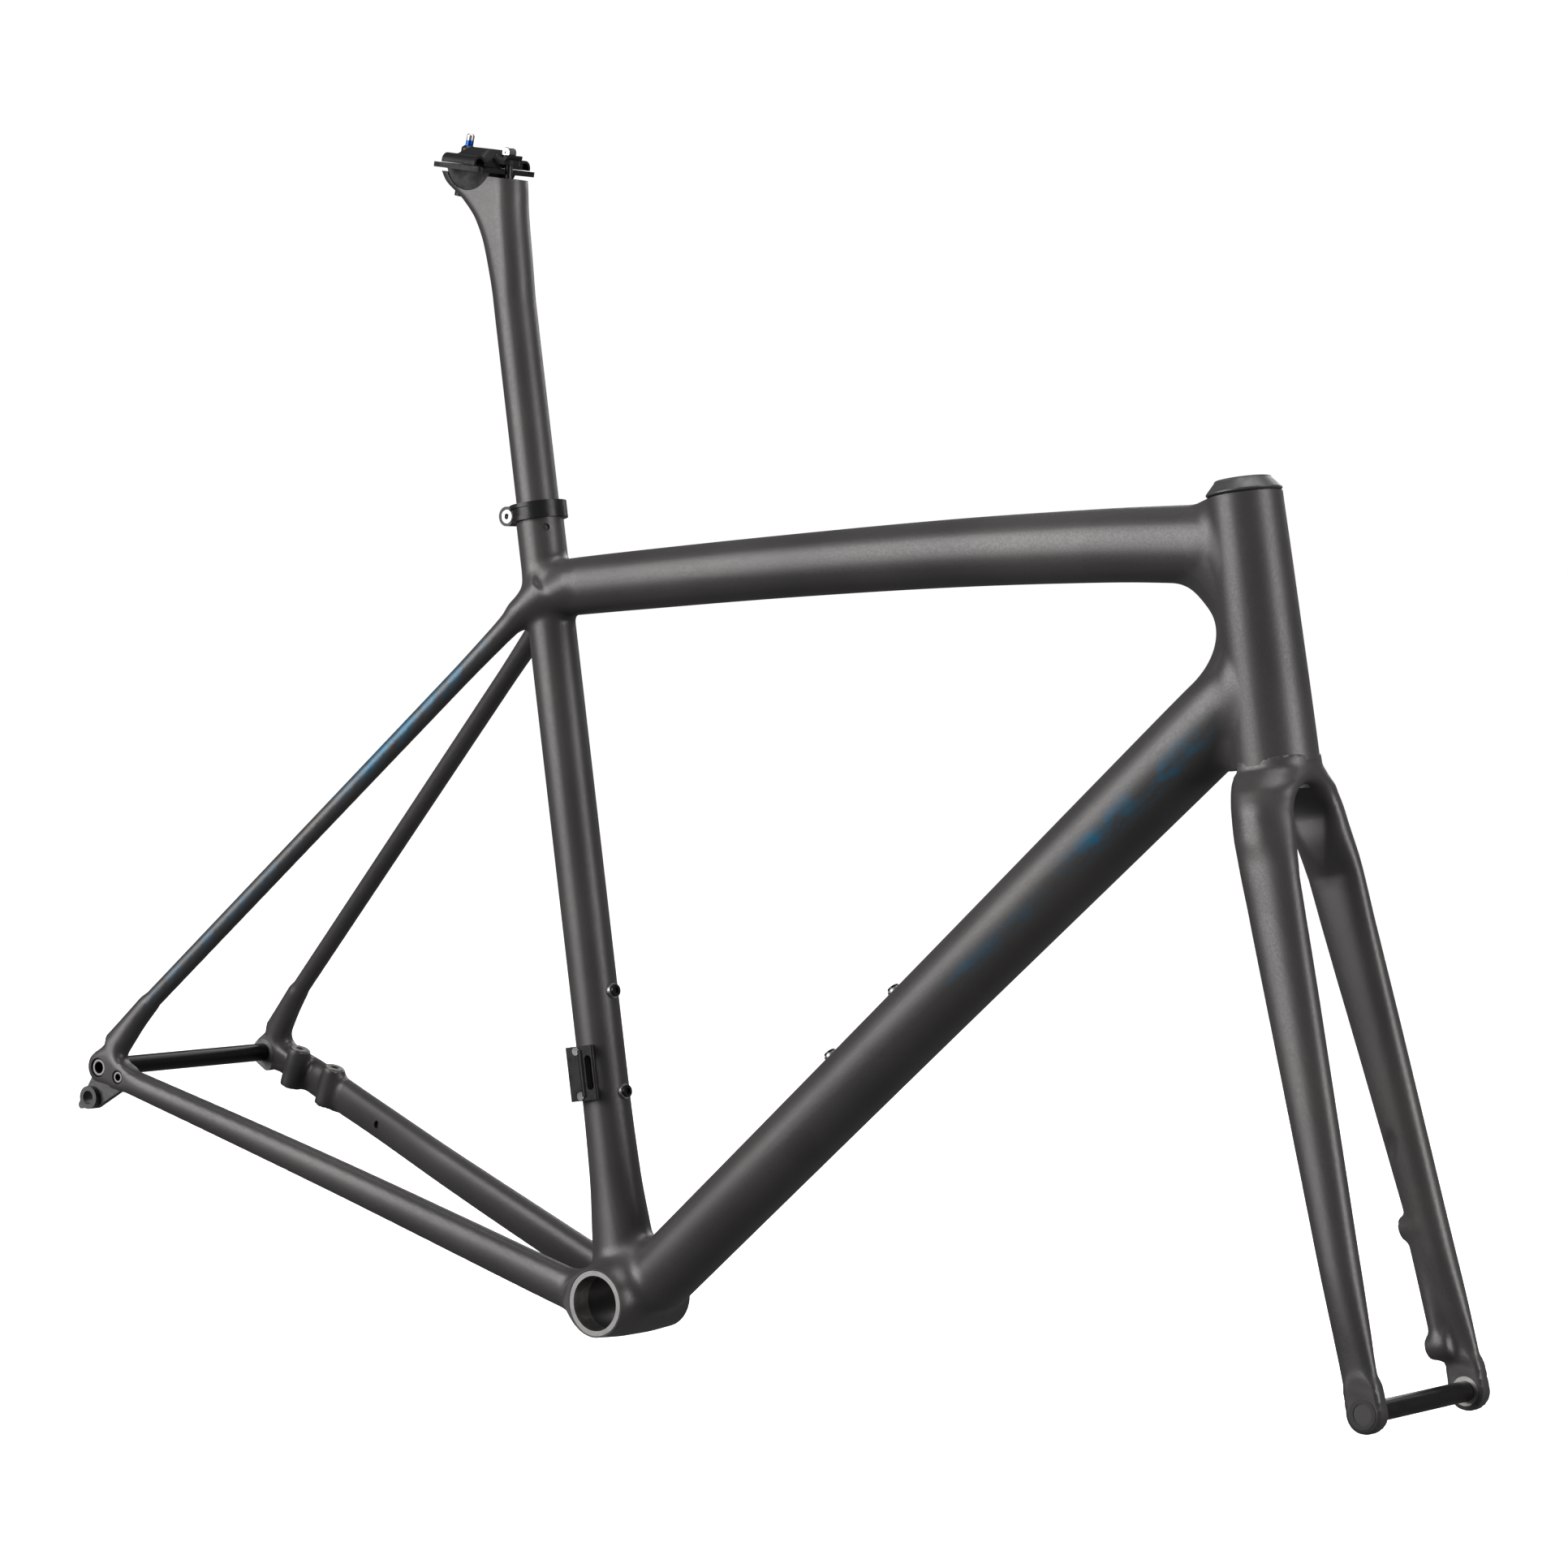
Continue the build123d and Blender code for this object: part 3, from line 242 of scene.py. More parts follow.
def frame_field(p):
    rel = p - CROWN
    h = rel @ STEER_UP
    ahead = rel @ STEER_AHEAD
    y = p[:, 1]
    head = between(np.hypot(ahead, y) - head_radius(h), h, -8, HEAD_LENGTH + 8)
    top = swept(p, 0, -141, 396, level(0), top_z, top_half_width, top_half_height, 2.25, 8)
    down = straight(p, (14.0, 0, 8.8), (410.0, 0, 460.5), down_half, down_half, 2.1, 12)
    t = p @ SEAT_UP
    seat = oval(p @ SEAT_AHEAD, y, seat_half_length(t), seat_half_width(t))
    seat = between(seat, t, 8, 514)
    shell = between(np.hypot(p[:, 0], p[:, 2]) - shell_radius(y), y, -38, 38)
    inner = np.clip((h - 96) / 44, 0, 1)
    # The head fillets are widest on the centre plane and end ahead of the steering axis.
    waist = 0.3 + 0.7 * np.clip(1 - (y / 19.0) ** 2, 0, 1)
    behind = np.clip((6.0 - ahead) / 22.0, 0, 1)
    waist *= 0.04 + 0.96 * behind * behind * (3 - 2 * behind)
    d = join(head, top, waist * (44 - 30 * inner * inner * (3 - 2 * inner)))
    under = np.clip((24 - h) / 30, 0, 1)
    d = join(d, down, waist * (28 - 12 * under))
    bridge = ball_ended(p, (-130.0, 0, 430.0), (-142.0, 0, 413.0), 11.0, 8.5)
    d = join(d, seat, join_at_seat(t))
    d = join(d, bridge, 5)
    for side in (-1, 1):
        shoulder = ball_ended(p, (-106.0, side * 5.5, 440.0), (-141.0, side * 11.2, 417.5), 12.4, 8.2)
        d = join(d, shoulder, 4)
    d = join(d, shell, 12)
    for side in (-1, 1):
        stay = join(seat_stay(p, side), chain_stay(p, side), 11)
        low, high = (REAR_INSIDE, REAR_OUTSIDE) if side > 0 else (-REAR_OUTSIDE, -REAR_INSIDE)
        stay = join(stay, slab(p, (AXLE_CIRCLE, HANGER_BOLT_CIRCLE), low, high, 2.4), 5)
        if side > 0:
            for seat_point in BRAKE_SEATS:
                from_seat = p - seat_point
                depth = from_seat @ BRAKE_NORMAL
                radial = np.linalg.norm(from_seat - depth[:, None] * BRAKE_NORMAL, axis=1)
                stay = join(stay, between(radial - 7.6, depth, -27.5, 0.0, 1.4), 5)
            dimple = np.linalg.norm((p - REAR_PORT - (0, -9.5, 1.5)) / (1.9, 0.9, 0.8), axis=1) - 6.2
            stay = cut(stay, dimple, 3)
        stay = cut(stay, REAR_OUTSIDE - np.abs(y), 2.0)
        d = join(d, stay, 6 + 6 * np.clip(1 - t / 300, 0, 1))
    return d


# ---- the fork's field ----------------------------------------------------------------------
leg_x = smooth_curve(
    (78, 572.4), (96, 565.0), (120, 554.9), (150, 541.8), (210, 516.0), (270, 490.2), (330, 464.2),
    (372, 446.3), (408, 431.5)
)
leg_y = smooth_curve(
    (78, 55.2), (96, 55.0), (120, 53.5), (150, 51.0), (210, 46.0), (270, 41.0), (330, 35.5),
    (366, 31.8), (386, 26.5), (408, 14.0)
)
leg_depth = smooth_curve(
    (78, 11.3), (96, 11.1), (120, 11.4), (150, 12.0), (210, 13.7), (270, 15.4), (330, 17.2),
    (366, 18.4), (386, 16.5), (408, 10.0)
)
leg_width = smooth_curve(
    (78, 5.1), (96, 5.4), (120, 7.7), (150, 9.5), (210, 10.0), (270, 10.4), (330, 11.0), (366, 11.3),
    (386, 9.6), (408, 5.0)
)
crown_depth = smooth_curve(
    (-68, 6.0), (-56, 12.5), (-42, 18.4), (-30, 21.2), (-12, 23.9), (-1.4, 24.7), (4, 24.7),
)
crown_width = smooth_curve(
    (-68, 28.0), (-56, 36.5), (-42, 41.3), (-30, 41.8), (-16, 37.2), (-7, 29.6), (-1.4, 25.0),
    (4, 24.6),
)
crown_lead = smooth_curve((-68, 8.6), (-30, 5.0), (-16, 3.0), (-1.4, 0.0), (4, 0.0))
ARCH_TOP = -13.5
ARCH_RADIUS = 20.0
LEG_UP = np.array([449.4 - 563.5, 0, 364.0 - 99.0])
LEG_UP /= np.linalg.norm(LEG_UP)
LEG_REAR = np.array([-LEG_UP[2], 0, LEG_UP[0]])
BRAKE_FACES = [np.array([534.3, 51.0, 123.9]) + LEG_UP * s for s in (-35.0, 35.0)]
FRONT_PORT = np.array([511.5, 38.5, 198.4])


def fork_field(p):
    rel = p - CROWN
    h = rel @ STEER_UP
    ahead = rel @ STEER_AHEAD
    y = p[:, 1]
    d = between(oval(ahead - crown_lead(h), y, crown_depth(h), crown_width(h), 2.35), h, -68, 4)
    for side in (-1, 1):
        leg = swept(p, 2, 80, 400, lambda z: side * leg_y(z), leg_x, leg_width, leg_depth, 2.15, 7)
        low, high = (FRONT_INSIDE, FRONT_OUTSIDE) if side > 0 else (-FRONT_OUTSIDE, -FRONT_INSIDE)
        foot = slab(p, ((FRONT_AXLE[0], FRONT_AXLE[2], 11.6), (570.5, 84.0, 11.1)), low, high, 2.4)
        leg = join(leg, foot, 2.5)
        # The foot's faces are flat at the axle and let go of the leg above it.
        above = np.maximum(p[:, 2] - 88, 0)
        leg = cut(leg, FRONT_OUTSIDE + 0.06 * above - side * y, 1.5)
        leg = cut(leg, side * y - FRONT_INSIDE + 0.2 * above, 1.5)
        d = join(d, leg, 9)
        if side > 0:
            ends = [face - LEG_REAR * 9.4 for face in BRAKE_FACES]
            d = join(d, ball_ended(p, *ends, 7.0, 7.0), 4)
            for face in BRAKE_FACES:
                from_face = p - face
                depth = from_face @ LEG_REAR
                radial = np.linalg.norm(from_face - depth[:, None] * LEG_REAR, axis=1)
                d = join(d, between(radial - 6.6, depth, -14.0, 0.0, 1.6), 6)
            dimple = np.linalg.norm((p - FRONT_PORT - (0, -4.2, 0)) / (0.8, 0.9, 1.9), axis=1) - 6.5
            d = cut(d, dimple, 3)
    arch = np.hypot(y, h - ARCH_TOP + ARCH_RADIUS) - ARCH_RADIUS
    flank = ARCH_RADIUS + 5.0 * np.clip((-40 - h) / 26, 0, 1) ** 2
    slot = np.maximum(np.abs(y) - flank, h - ARCH_TOP + ARCH_RADIUS)
    return cut(d, np.minimum(arch, slot), 11)


# ---- the seatpost's field ----------------------------------------------------------------
HEAD_RIM = 688.3
post_shank = smooth_curve((610, 13.6), (622, 13.6), (655, 12.9), (692, 11.5))
post_rear = smooth_curve(
    (596, 12.9), (610, 13.5), (625, 14.6), (645, 16.7), (660, 21.3), (672, 30.5), (683, 44.0),
    (692, 47.5)
)
post_front = smooth_curve(
    (596, 12.9), (610, 13.5), (625, 14.8), (645, 15.9), (660, 16.6), (672, 17.5), (683, 18.9),
    (692, 19.6)
)
post_half_width = smooth_curve((596, 12.9), (612, 13.3), (640, 13.3), (692, 13.0))


def post_field(p):
    t = p @ SEAT_UP
    along = p @ SEAT_AHEAD
    y = p[:, 1]
    shank = between(np.hypot(along, y) - post_shank(t), t, 370, 690, 1.0)
    z = np.clip(p[:, 2], 596, 692)
    axis_x = -z / math.tan(SEAT)
    rear, front, half = post_rear(z), post_front(z), post_half_width(z)
    middle = axis_x + (front - rear) / 2
    reach = np.maximum((front + rear) / 2 - half, 0.3)
    along_x = np.maximum(np.abs(p[:, 0] - middle) - reach, 0)
    lean = np.where(p[:, 0] < middle, 0.62 + 0.38 * np.clip((668 - z) / 50, 0, 1), 0.96)
    flare = (np.hypot(along_x, y) - half) * lean
    flare = between(flare, p[:, 2], 596, 694, 1.0)
    return join(shank, flare, 1.2)


# ---- meshing -------------------------------------------------------------------------------
def surface(field, low, high, step, block=6):
    """Vertices and quads of field = 0, sampled only in the blocks that it crosses."""
    low, high = np.array(low, float), np.array(high, float)
    count = np.ceil((high - low) / (step * block)).astype(int)
    centres = [low[a] + (np.arange(count[a]) + 0.5) * step * block for a in range(3)]
    grid = np.stack(np.meshgrid(*centres, indexing="ij"), -1).reshape(-1, 3)
    rough = field(grid).reshape(count)
    crossed = np.abs(rough) < step * (block * 1.25 + 1)
    values = np.where(rough < 0, -1e3, 1e3).astype(np.float32)
    for a in range(3):
        crossed = np.repeat(crossed, block, axis=a)
        values = np.repeat(values, block, axis=a)
    values = np.pad(values, ((0, 1),) * 3, mode="edge")
    wanted = np.zeros(values.shape, bool)
    for corner in np.ndindex(2, 2, 2):
        part = tuple(slice(c, c + n) for c, n in zip(corner, crossed.shape))
        wanted[part] |= crossed
    spots = np.argwhere(wanted)
    found = np.empty(len(spots), np.float32)
    for i in range(0, len(spots), 200000):
        found[i : i + 200000] = field(low + spots[i : i + 200000] * step)
    values[wanted] = found
    inside = values < 0
    shape = np.array(values.shape) - 1
    total = np.zeros(shape, np.int8)
    for corner in np.ndindex(2, 2, 2):
        total += inside[tuple(slice(c, c + n) for c, n in zip(corner, shape))]
    cells = np.argwhere((total > 0) & (total < 8))
    place = np.zeros((len(cells), 3))
    hits = np.zeros(len(cells))
    for a in range(3):
        b, c = [k for k in range(3) if k != a]
        for db, dc in np.ndindex(2, 2):
            start = cells.copy()
            start[:, b] += db
            start[:, c] += dc
            end = start.copy()
            end[:, a] += 1
            v0 = values[tuple(start.T)]
            v1 = values[tuple(end.T)]
            hit = (v0 < 0) != (v1 < 0)
            share = np.where(hit, v0 / np.where(hit, v0 - v1, 1), 0)
            spot = start.astype(float)
            spot[:, a] += share
            place[hit] += spot[hit]
            hits += hit
    points = low + place / hits[:, None] * step
    for _ in range(4):
        value = field(points)
        slope = np.stack([(field(points + e) - field(points - e)) / 0.2 for e in np.eye(3) * 0.1], -1)
        size = np.maximum((slope**2).sum(1), 0.2)
        points -= np.clip(value / size, -1.0, 1.0)[:, None] * slope
    number = np.full(shape, -1, np.int64)
    number[tuple(cells.T)] = np.arange(len(cells))
    quads = []
    for a in range(3):
        b, c = (a + 1) % 3, (a + 2) % 3
        first = np.take(inside, range(shape[a]), axis=a)
        second = np.take(inside, range(1, shape[a] + 1), axis=a)
        edges = np.argwhere(first != second)
        across_both = edges[:, [b, c]]
        edges = edges[((across_both > 0) & (across_both < shape[[b, c]])).all(1)]
        ring = []
        for db, dc in ((1, 1), (0, 1), (0, 0), (1, 0)):
            cell = edges.copy()
            cell[:, b] -= db
            cell[:, c] -= dc
            ring.append(number[tuple(cell.T)])
        ring = np.stack(ring, -1)
        outward = first[tuple(edges.T)]
        ring[~outward] = ring[~outward][:, ::-1]
        quads.append(ring)
    return points, np.concatenate(quads)


def mesh_object(name, points, faces):
    mesh = bpy.data.meshes.new(name)
    mesh.from_pydata((np.asarray(points) * MM).tolist(), [], [list(map(int, f)) for f in faces])
    mesh.update()
    obj = bpy.data.objects.new(name, mesh)
    bpy.context.scene.collection.objects.link(obj)
    return obj


# ---- crisp cutters ---------------------------------------------------------------------------
def basis(direction):
    direction = np.array(direction, float) / np.linalg.norm(direction)
    first = np.cross(direction, (0.0, 1.0, 0.0) if abs(direction[1]) < 0.9 else (0.0, 0.0, 1.0))
    first /= np.linalg.norm(first)
    return first, np.cross(direction, first), direction


def lathe(centre, direction, profile, sides=96):
    """A closed turned solid: profile is (height along the direction, radius) from end to end."""
    first, second, up = basis(direction)
    angles = np.arange(sides) * 2 * math.pi / sides
    ring = np.cos(angles)[:, None] * first + np.sin(angles)[:, None] * second
    points = [np.array(centre) + up * height + ring * radius for height, radius in profile]
    faces = [list(range(sides))[::-1]]
    for k in range(len(profile) - 1):
        for i in range(sides):
            j = (i + 1) % sides
            faces.append([k * sides + i, k * sides + j, (k + 1) * sides + j, (k + 1) * sides + i])
    last = (len(profile) - 1) * sides
    faces.append(list(range(last, last + sides)))
    return np.concatenate(points), faces


def bar(start, end, radius, sides=96):
    run = np.subtract(end, start)
    return lathe(start, run, ((0, radius), (np.linalg.norm(run), radius)), sides)


def crate(low, high):
    """A box between two corners."""
    low, high = np.array(low, float), np.array(high, float)
    ends = np.array([low, high])
    corners = np.array([[ends[i, 0], ends[j, 1], ends[k, 2]] for i, j, k in np.ndindex(2, 2, 2)])
    return corners, [[0, 1, 3, 2], [4, 6, 7, 5], [0, 4, 5, 1], [2, 3, 7, 6], [0, 2, 6, 4], [1, 5, 7, 3]]


def hull_plate(circles, y_low, y_high, grow=0.0):
    """The hull of circles (x, z, radius) between two planes across Y."""
    spots = []
    for x, z, radius in circles:
        for a in np.arange(64) * math.pi / 32:
            spots.append((x + (radius + grow) * math.cos(a), z + (radius + grow) * math.sin(a)))
    mesh = bmesh.new()
    verts = [mesh.verts.new((x, 0, z)) for x, z in sorted(set(spots))]
    rim = []
    for v in verts + verts[::-1]:
        while len(rim) > 1:
            a, b = rim[-2].co, rim[-1].co
            if (b.x - a.x) * (v.co.z - a.z) - (b.z - a.z) * (v.co.x - a.x) > 1e-9:
                break
            rim.pop()
        rim.append(v)
    outline = []
    for v in rim:
        if not outline or (outline[-1] - v.co).length > 1e-6:
            outline.append(v.co.copy())
    mesh.free()
    if (outline[0] - outline[-1]).length < 1e-6:
        outline.pop()
    n = len(outline)
    points = [(c.x, y, c.z) for y in (y_low, y_high) for c in outline]
    faces = [list(range(n)), list(range(n, 2 * n))[::-1]]
    faces += [[(i + 1) % n, i, n + i, n + (i + 1) % n] for i in range(n)]
    return np.array(points), faces


def carve(obj, cutters):
    """Cut closed solids out of an object, crisply."""
    helpers = []
    for k, (p, f) in enumerate(cutters):
        helper = mesh_object(f"{obj.name}_cut_{k}", p, f)
        work = bmesh.new()
        work.from_mesh(helper.data)
        bmesh.ops.recalc_face_normals(work, faces=work.faces)
        work.to_mesh(helper.data)
        work.free()
        helpers.append(helper)
        step = obj.modifiers.new("cut", "BOOLEAN")
        step.operation = "DIFFERENCE"
        step.solver = "MANIFOLD"
        step.object = helper
    bpy.context.view_layer.update()
    result = bpy.data.meshes.new_from_object(obj.evaluated_get(bpy.context.evaluated_depsgraph_get()))
    obj.modifiers.clear()
    old = obj.data
    obj.data = result
    result.name = obj.name
    bpy.data.meshes.remove(old)
    for helper in helpers:
        bpy.data.objects.remove(helper)
    return obj


def finished(obj, body, replaced, material):
    """Smooth faces with crisp cut edges and the material; the piece rides its body, and the CAD parts it
    stands for are hidden.
    """
    obj.data.shade_smooth()
    obj.data.set_sharp_from_angle(angle=math.radians(32))
    obj.data.materials.clear()
    obj.data.materials.append(material)
    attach(obj, body)
    if replaced:
        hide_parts(*replaced)
    return obj


# ---- materials ---------------------------------------------------------------------------------
class Look:
    """A node material under construction."""

    def __init__(self, name, color, roughness, metallic=0.0, **sockets):
        self.material = bpy.data.materials.new(name)
        self.material.use_nodes = True
        self.tree = self.material.node_tree
        self.shader = self.tree.nodes["Principled BSDF"]
        self.set(self.shader, "Base Color", (*color, 1))
        self.set(self.shader, "Roughness", roughness)
        self.set(self.shader, "Metallic", metallic)
        for socket, value in sockets.items():
            self.set(self.shader, socket.replace("_", " "), value)
        self.place = self.tree.nodes.new("ShaderNodeTexCoord")

    def set(self, node, socket, value):
        node.inputs[socket].default_value = value

    def node(self, kind, **values):
        node = self.tree.nodes.new(kind)
        for name, value in values.items():
            if name in node.inputs.keys():
                node.inputs[name].default_value = value
            else:
                setattr(node, name, value)
        return node

    def link(self, output, target):
        self.tree.links.new(output, target)

    def stretched(self, scale, turn=(0, 0, 0)):
        mapping = self.node("ShaderNodeMapping")
        mapping.inputs["Scale"].default_value = scale
        mapping.inputs["Rotation"].default_value = turn
        self.link(self.place.outputs["Object"], mapping.inputs["Vector"])
        return mapping.outputs["Vector"]

    def noise(self, scale, detail=3.0, rough=0.5, vector=None):
        noise = self.node("ShaderNodeTexNoise")
        noise.inputs["Scale"].default_value = scale
        noise.inputs["Detail"].default_value = detail
        noise.inputs["Roughness"].default_value = rough
        self.link(vector or self.place.outputs["Object"], noise.inputs["Vector"])
        return noise.outputs["Fac"]

    def span(self, value, low, high, to_low=0.0, to_high=1.0):
        spread = self.node("ShaderNodeMapRange")
        for name, number in (("From Min", low), ("From Max", high), ("To Min", to_low), ("To Max", to_high)):
            spread.inputs[name].default_value = number
        self.link(value, spread.inputs["Value"])
        return spread.outputs["Result"]

    def mix(self, factor, first, second):
        mixer = self.node("ShaderNodeMix", data_type="RGBA")
        for k, colour in ((6, first), (7, second)):
            if isinstance(colour, tuple):
                mixer.inputs[k].default_value = (*colour, 1)
            else:
                self.link(colour, mixer.inputs[k])
        self.link(factor, mixer.inputs[0])
        return mixer.outputs[2]

    def reach(self, centre, direction):
        """Metres along a direction from a point."""
        offset = self.node("ShaderNodeVectorMath", operation="SUBTRACT")
        offset.inputs[1].default_value = centre
        self.link(self.place.outputs["Object"], offset.inputs[0])
        product = self.node("ShaderNodeVectorMath", operation="DOT_PRODUCT")
        product.inputs[1].default_value = direction
        self.link(offset.outputs["Vector"], product.inputs[0])
        return product.outputs["Value"]

    def from_axle(self, centre):
        """Metres from a crosswise axis through a point."""
        offset = self.node("ShaderNodeVectorMath", operation="SUBTRACT")
        offset.inputs[1].default_value = centre
        self.link(self.place.outputs["Object"], offset.inputs[0])
        flat = self.node("ShaderNodeVectorMath", operation="MULTIPLY")
        flat.inputs[1].default_value = (1, 0, 1)
        self.link(offset.outputs["Vector"], flat.inputs[0])
        length = self.node("ShaderNodeVectorMath", operation="LENGTH")
        self.link(flat.outputs["Vector"], length.inputs[0])
        return length.outputs["Value"]

    def band(self, value, low, high, soft):
        """One between low and high, else nothing."""
        rise = self.span(value, low - soft, low + soft)
        return self.times(rise, self.span(value, high - soft, high + soft, 1.0, 0.0))

    def times(self, a, b):
        product = self.node("ShaderNodeMath", operation="MULTIPLY")
        self.link(a, product.inputs[0])
        self.link(b, product.inputs[1])
        return product.outputs[0]

    def bump(self, height, strength, distance):
        bump = self.node("ShaderNodeBump")
        bump.inputs["Strength"].default_value = strength
        bump.inputs["Distance"].default_value = distance
        self.link(height, bump.inputs["Height"])
        if self.shader.inputs["Normal"].is_linked:
            self.link(self.shader.inputs["Normal"].links[0].from_socket, bump.inputs["Normal"])
        self.link(bump.outputs["Normal"], self.shader.inputs["Normal"])


def carbon_look():
    """Satin charcoal laminate: faint ply patches, warm and cool clouding, and a painted teal sheen (a painted
    reflection) in streaks.
    """
    look = Look("satin_carbon", (0.05, 0.05, 0.05), 0.4, 0.45, IOR=1.5)
    clouds = look.span(look.noise(9.0, 4.0, 0.55), 0.35, 0.7)
    base = look.mix(clouds, (0.062, 0.059, 0.0585), (0.084, 0.080, 0.078))
    patch = look.node("ShaderNodeTexVoronoi")
    patch.inputs["Scale"].default_value = 17.0
    patch.inputs["Randomness"].default_value = 0.85
    look.link(look.stretched((1.0, 1.6, 1.0), (0.3, 0.5, 0.2)), patch.inputs["Vector"])
    tone = look.span(patch.outputs["Color"], 0.0, 1.0, 0.0, 0.4)
    ply = look.node("ShaderNodeAttribute", attribute_name="ply")
    base = look.mix(look.times(tone, ply.outputs["Fac"]), base, (0.14, 0.136, 0.133))
    # Painted sheen: a teal reflection painted into the base colour in streaks, at fixed places given by a
    # mesh mask.
    painted_sheen = look.node("ShaderNodeAttribute", attribute_name="painted_sheen")
    fibres = look.stretched((1.0, 5.0, 1.0), (0, 0.85, 0))
    threads = look.span(look.noise(60.0, 5.0, 0.65, fibres), 0.38, 0.66)
    blue = look.times(painted_sheen.outputs["Fac"], threads)
    base = look.mix(blue, base, (0.008, 0.15, 0.27))
    look.link(base, look.shader.inputs["Base Color"])
    grain = look.noise(700.0, 2.0, 0.6)
    look.link(look.span(grain, 0.3, 0.7, 0.36, 0.46), look.shader.inputs["Roughness"])
    look.bump(grain, 0.05, 0.0002)
    look.bump(look.noise(55.0, 2.0, 0.5), 0.05, 0.0008)
    return look.material


def metal_look(name, color, roughness, scratch=0.0, grain=0.0, metallic=1.0, **sockets):
    look = Look(name, color, roughness, metallic, **sockets)
    wear = look.noise(140.0, 4.0, 0.6)
    worn = look.span(wear, 0.3, 0.7, roughness * 0.8, min(1.0, roughness * 1.25))
    look.link(worn, look.shader.inputs["Roughness"])
    dull = tuple(c * 0.72 for c in color)
    look.link(look.mix(look.span(wear, 0.35, 0.75), color, dull), look.shader.inputs["Base Color"])
    if scratch:
        look.bump(look.noise(60.0, 3.0, 0.5, look.stretched((1.0, 45.0, 1.0))), scratch, 0.0002)
    if grain:
        look.bump(look.noise(2600.0, 2.0, 0.7), grain, 0.0002)
    return look.material


def ringed_look(name, centre, low, high, tip, outside=(0.012, 0.012, 0.013)):
    """Black metal with one bright ring round a crosswise axis on its right-hand end face."""
    look = Look(name, (0.012, 0.012, 0.013), 0.3, 0.6)
    away = look.from_axle([c * MM for c in centre])
    ring = look.band(away, low * MM, high * MM, 0.1 * MM)
    ring = look.times(ring, look.span(look.reach((0, tip * MM, 0), (0, -1, 0)), -0.0001, 0.0))
    base = look.mix(look.span(away, high * MM, high * MM + 0.0001), (0.012, 0.012, 0.013), outside)
    base = look.mix(ring, base, (0.45, 0.44, 0.43))
    look.link(base, look.shader.inputs["Base Color"])
    look.bump(look.noise(900.0, 2.0, 0.6), 0.04, 0.0002)
    return look.material


def rear_bolt_look():
    """Bright steel above the clamp with a band of blue threadlock; below it the steel is painted near-black
    as shade inside and under the clamp.
    """
    look = Look("rear_bolt_steel", (0.5, 0.49, 0.47), 0.3, 0.9)
    lean = math.radians(5)
    height = look.reach((-0.2415, 0, 0.6734), (math.sin(lean), 0, math.cos(lean)))
    # Painted shade: below the clamp the bolt's colour is near-black, where it sits in shade.
    base = look.mix(look.span(height, 0.026, 0.027), (0.015, 0.015, 0.016), (0.5, 0.49, 0.47))
    base = look.mix(look.band(height, 0.0325, 0.0365, 0.0002), base, (0.01, 0.08, 0.42))
    look.link(base, look.shader.inputs["Base Color"])
    look.bump(look.noise(900.0, 2.0, 0.6), 0.05, 0.0002)
    return look.material


carbon = carbon_look()
looks = {
    "machined_alloy": metal_look("machined_alloy", (0.42, 0.41, 0.40), 0.4, scratch=0.5),
    "blasted_alloy": metal_look("blasted_alloy", (0.12, 0.12, 0.122), 0.4, grain=0.6),
    "gloss_black_alloy": metal_look(
        "gloss_black_alloy", (0.012, 0.012, 0.013), 0.3, grain=0.05, metallic=0.0, IOR=1.38
    ),
    "satin_black_alloy": metal_look(
        "satin_black_alloy", (0.008, 0.008, 0.009), 0.36, grain=0.12, metallic=0.1, IOR=1.38
    ),
    "black_steel": metal_look("black_steel", (0.035, 0.035, 0.037), 0.3, grain=0.1, metallic=0.8),
    "bright_steel": metal_look("bright_steel", (0.66, 0.65, 0.63), 0.2, grain=0.06),
    "bearing_steel": metal_look("bearing_steel", (0.7, 0.7, 0.7), 0.15, grain=0.02),
    "seal_rubber": metal_look("seal_rubber", (0.02, 0.02, 0.02), 0.7, grain=0.3, metallic=0.0),
    "carbon": carbon,
}
clamp_black = metal_look(
    "clamp_black", (0.01, 0.01, 0.011), 0.5, grain=0.1, metallic=0.0, Specular_IOR_Level=0.22
)
special = {
    "lower_cradle": clamp_black,
    "upper_clamp": clamp_black,
    "crown_race": looks["seal_rubber"],
    "lower_bearing_outer_race": looks["seal_rubber"],
    "lower_bearing_inner_race": looks["seal_rubber"],
    "lower_bearing_balls": looks["seal_rubber"],
    "fork_axle_nut_right": ringed_look("tip_black", FRONT_AXLE, 4.6, 5.3, -60.0, (0.07, 0.068, 0.067)),
    "compression_ring": looks["black_steel"],
    "headset_cover": metal_look("cover_alloy", (0.075, 0.075, 0.076), 0.42, grain=0.2, metallic=0.3),
    "dropout_insert_left": metal_look("rough_alloy", (0.17, 0.168, 0.165), 0.55, grain=0.8),
    "rear_clamp_bolt": rear_bolt_look(),
    "rear_thru_axle": ringed_look("rear_axle_black", REAR_AXLE, 4.0, 5.3, -84.0),
    "hanger_screw": ringed_look("screw_black", (REAR_AXLE[0] + 18.8, 0, 70.2), 2.5, 3.5, -80.0),
}
slots = {part["node"]: part["material_slot"] for part in frame["record"]["subparts"]}
for name, node in nodes.items():
    node.data.materials.clear()
    node.data.materials.append(special.get(name) or looks[slots[name]])

# ---- the frame skin -----------------------------------------------------------------------------
STEP = 2.0
frame_skin = mesh_object("frame_skin", *surface(frame_field, (-432, -94, -30), (462, 94, 580), STEP))


def steer(height):
    return CROWN + STEER_UP * height


def seat_at(height):
    return SEAT_UP * height


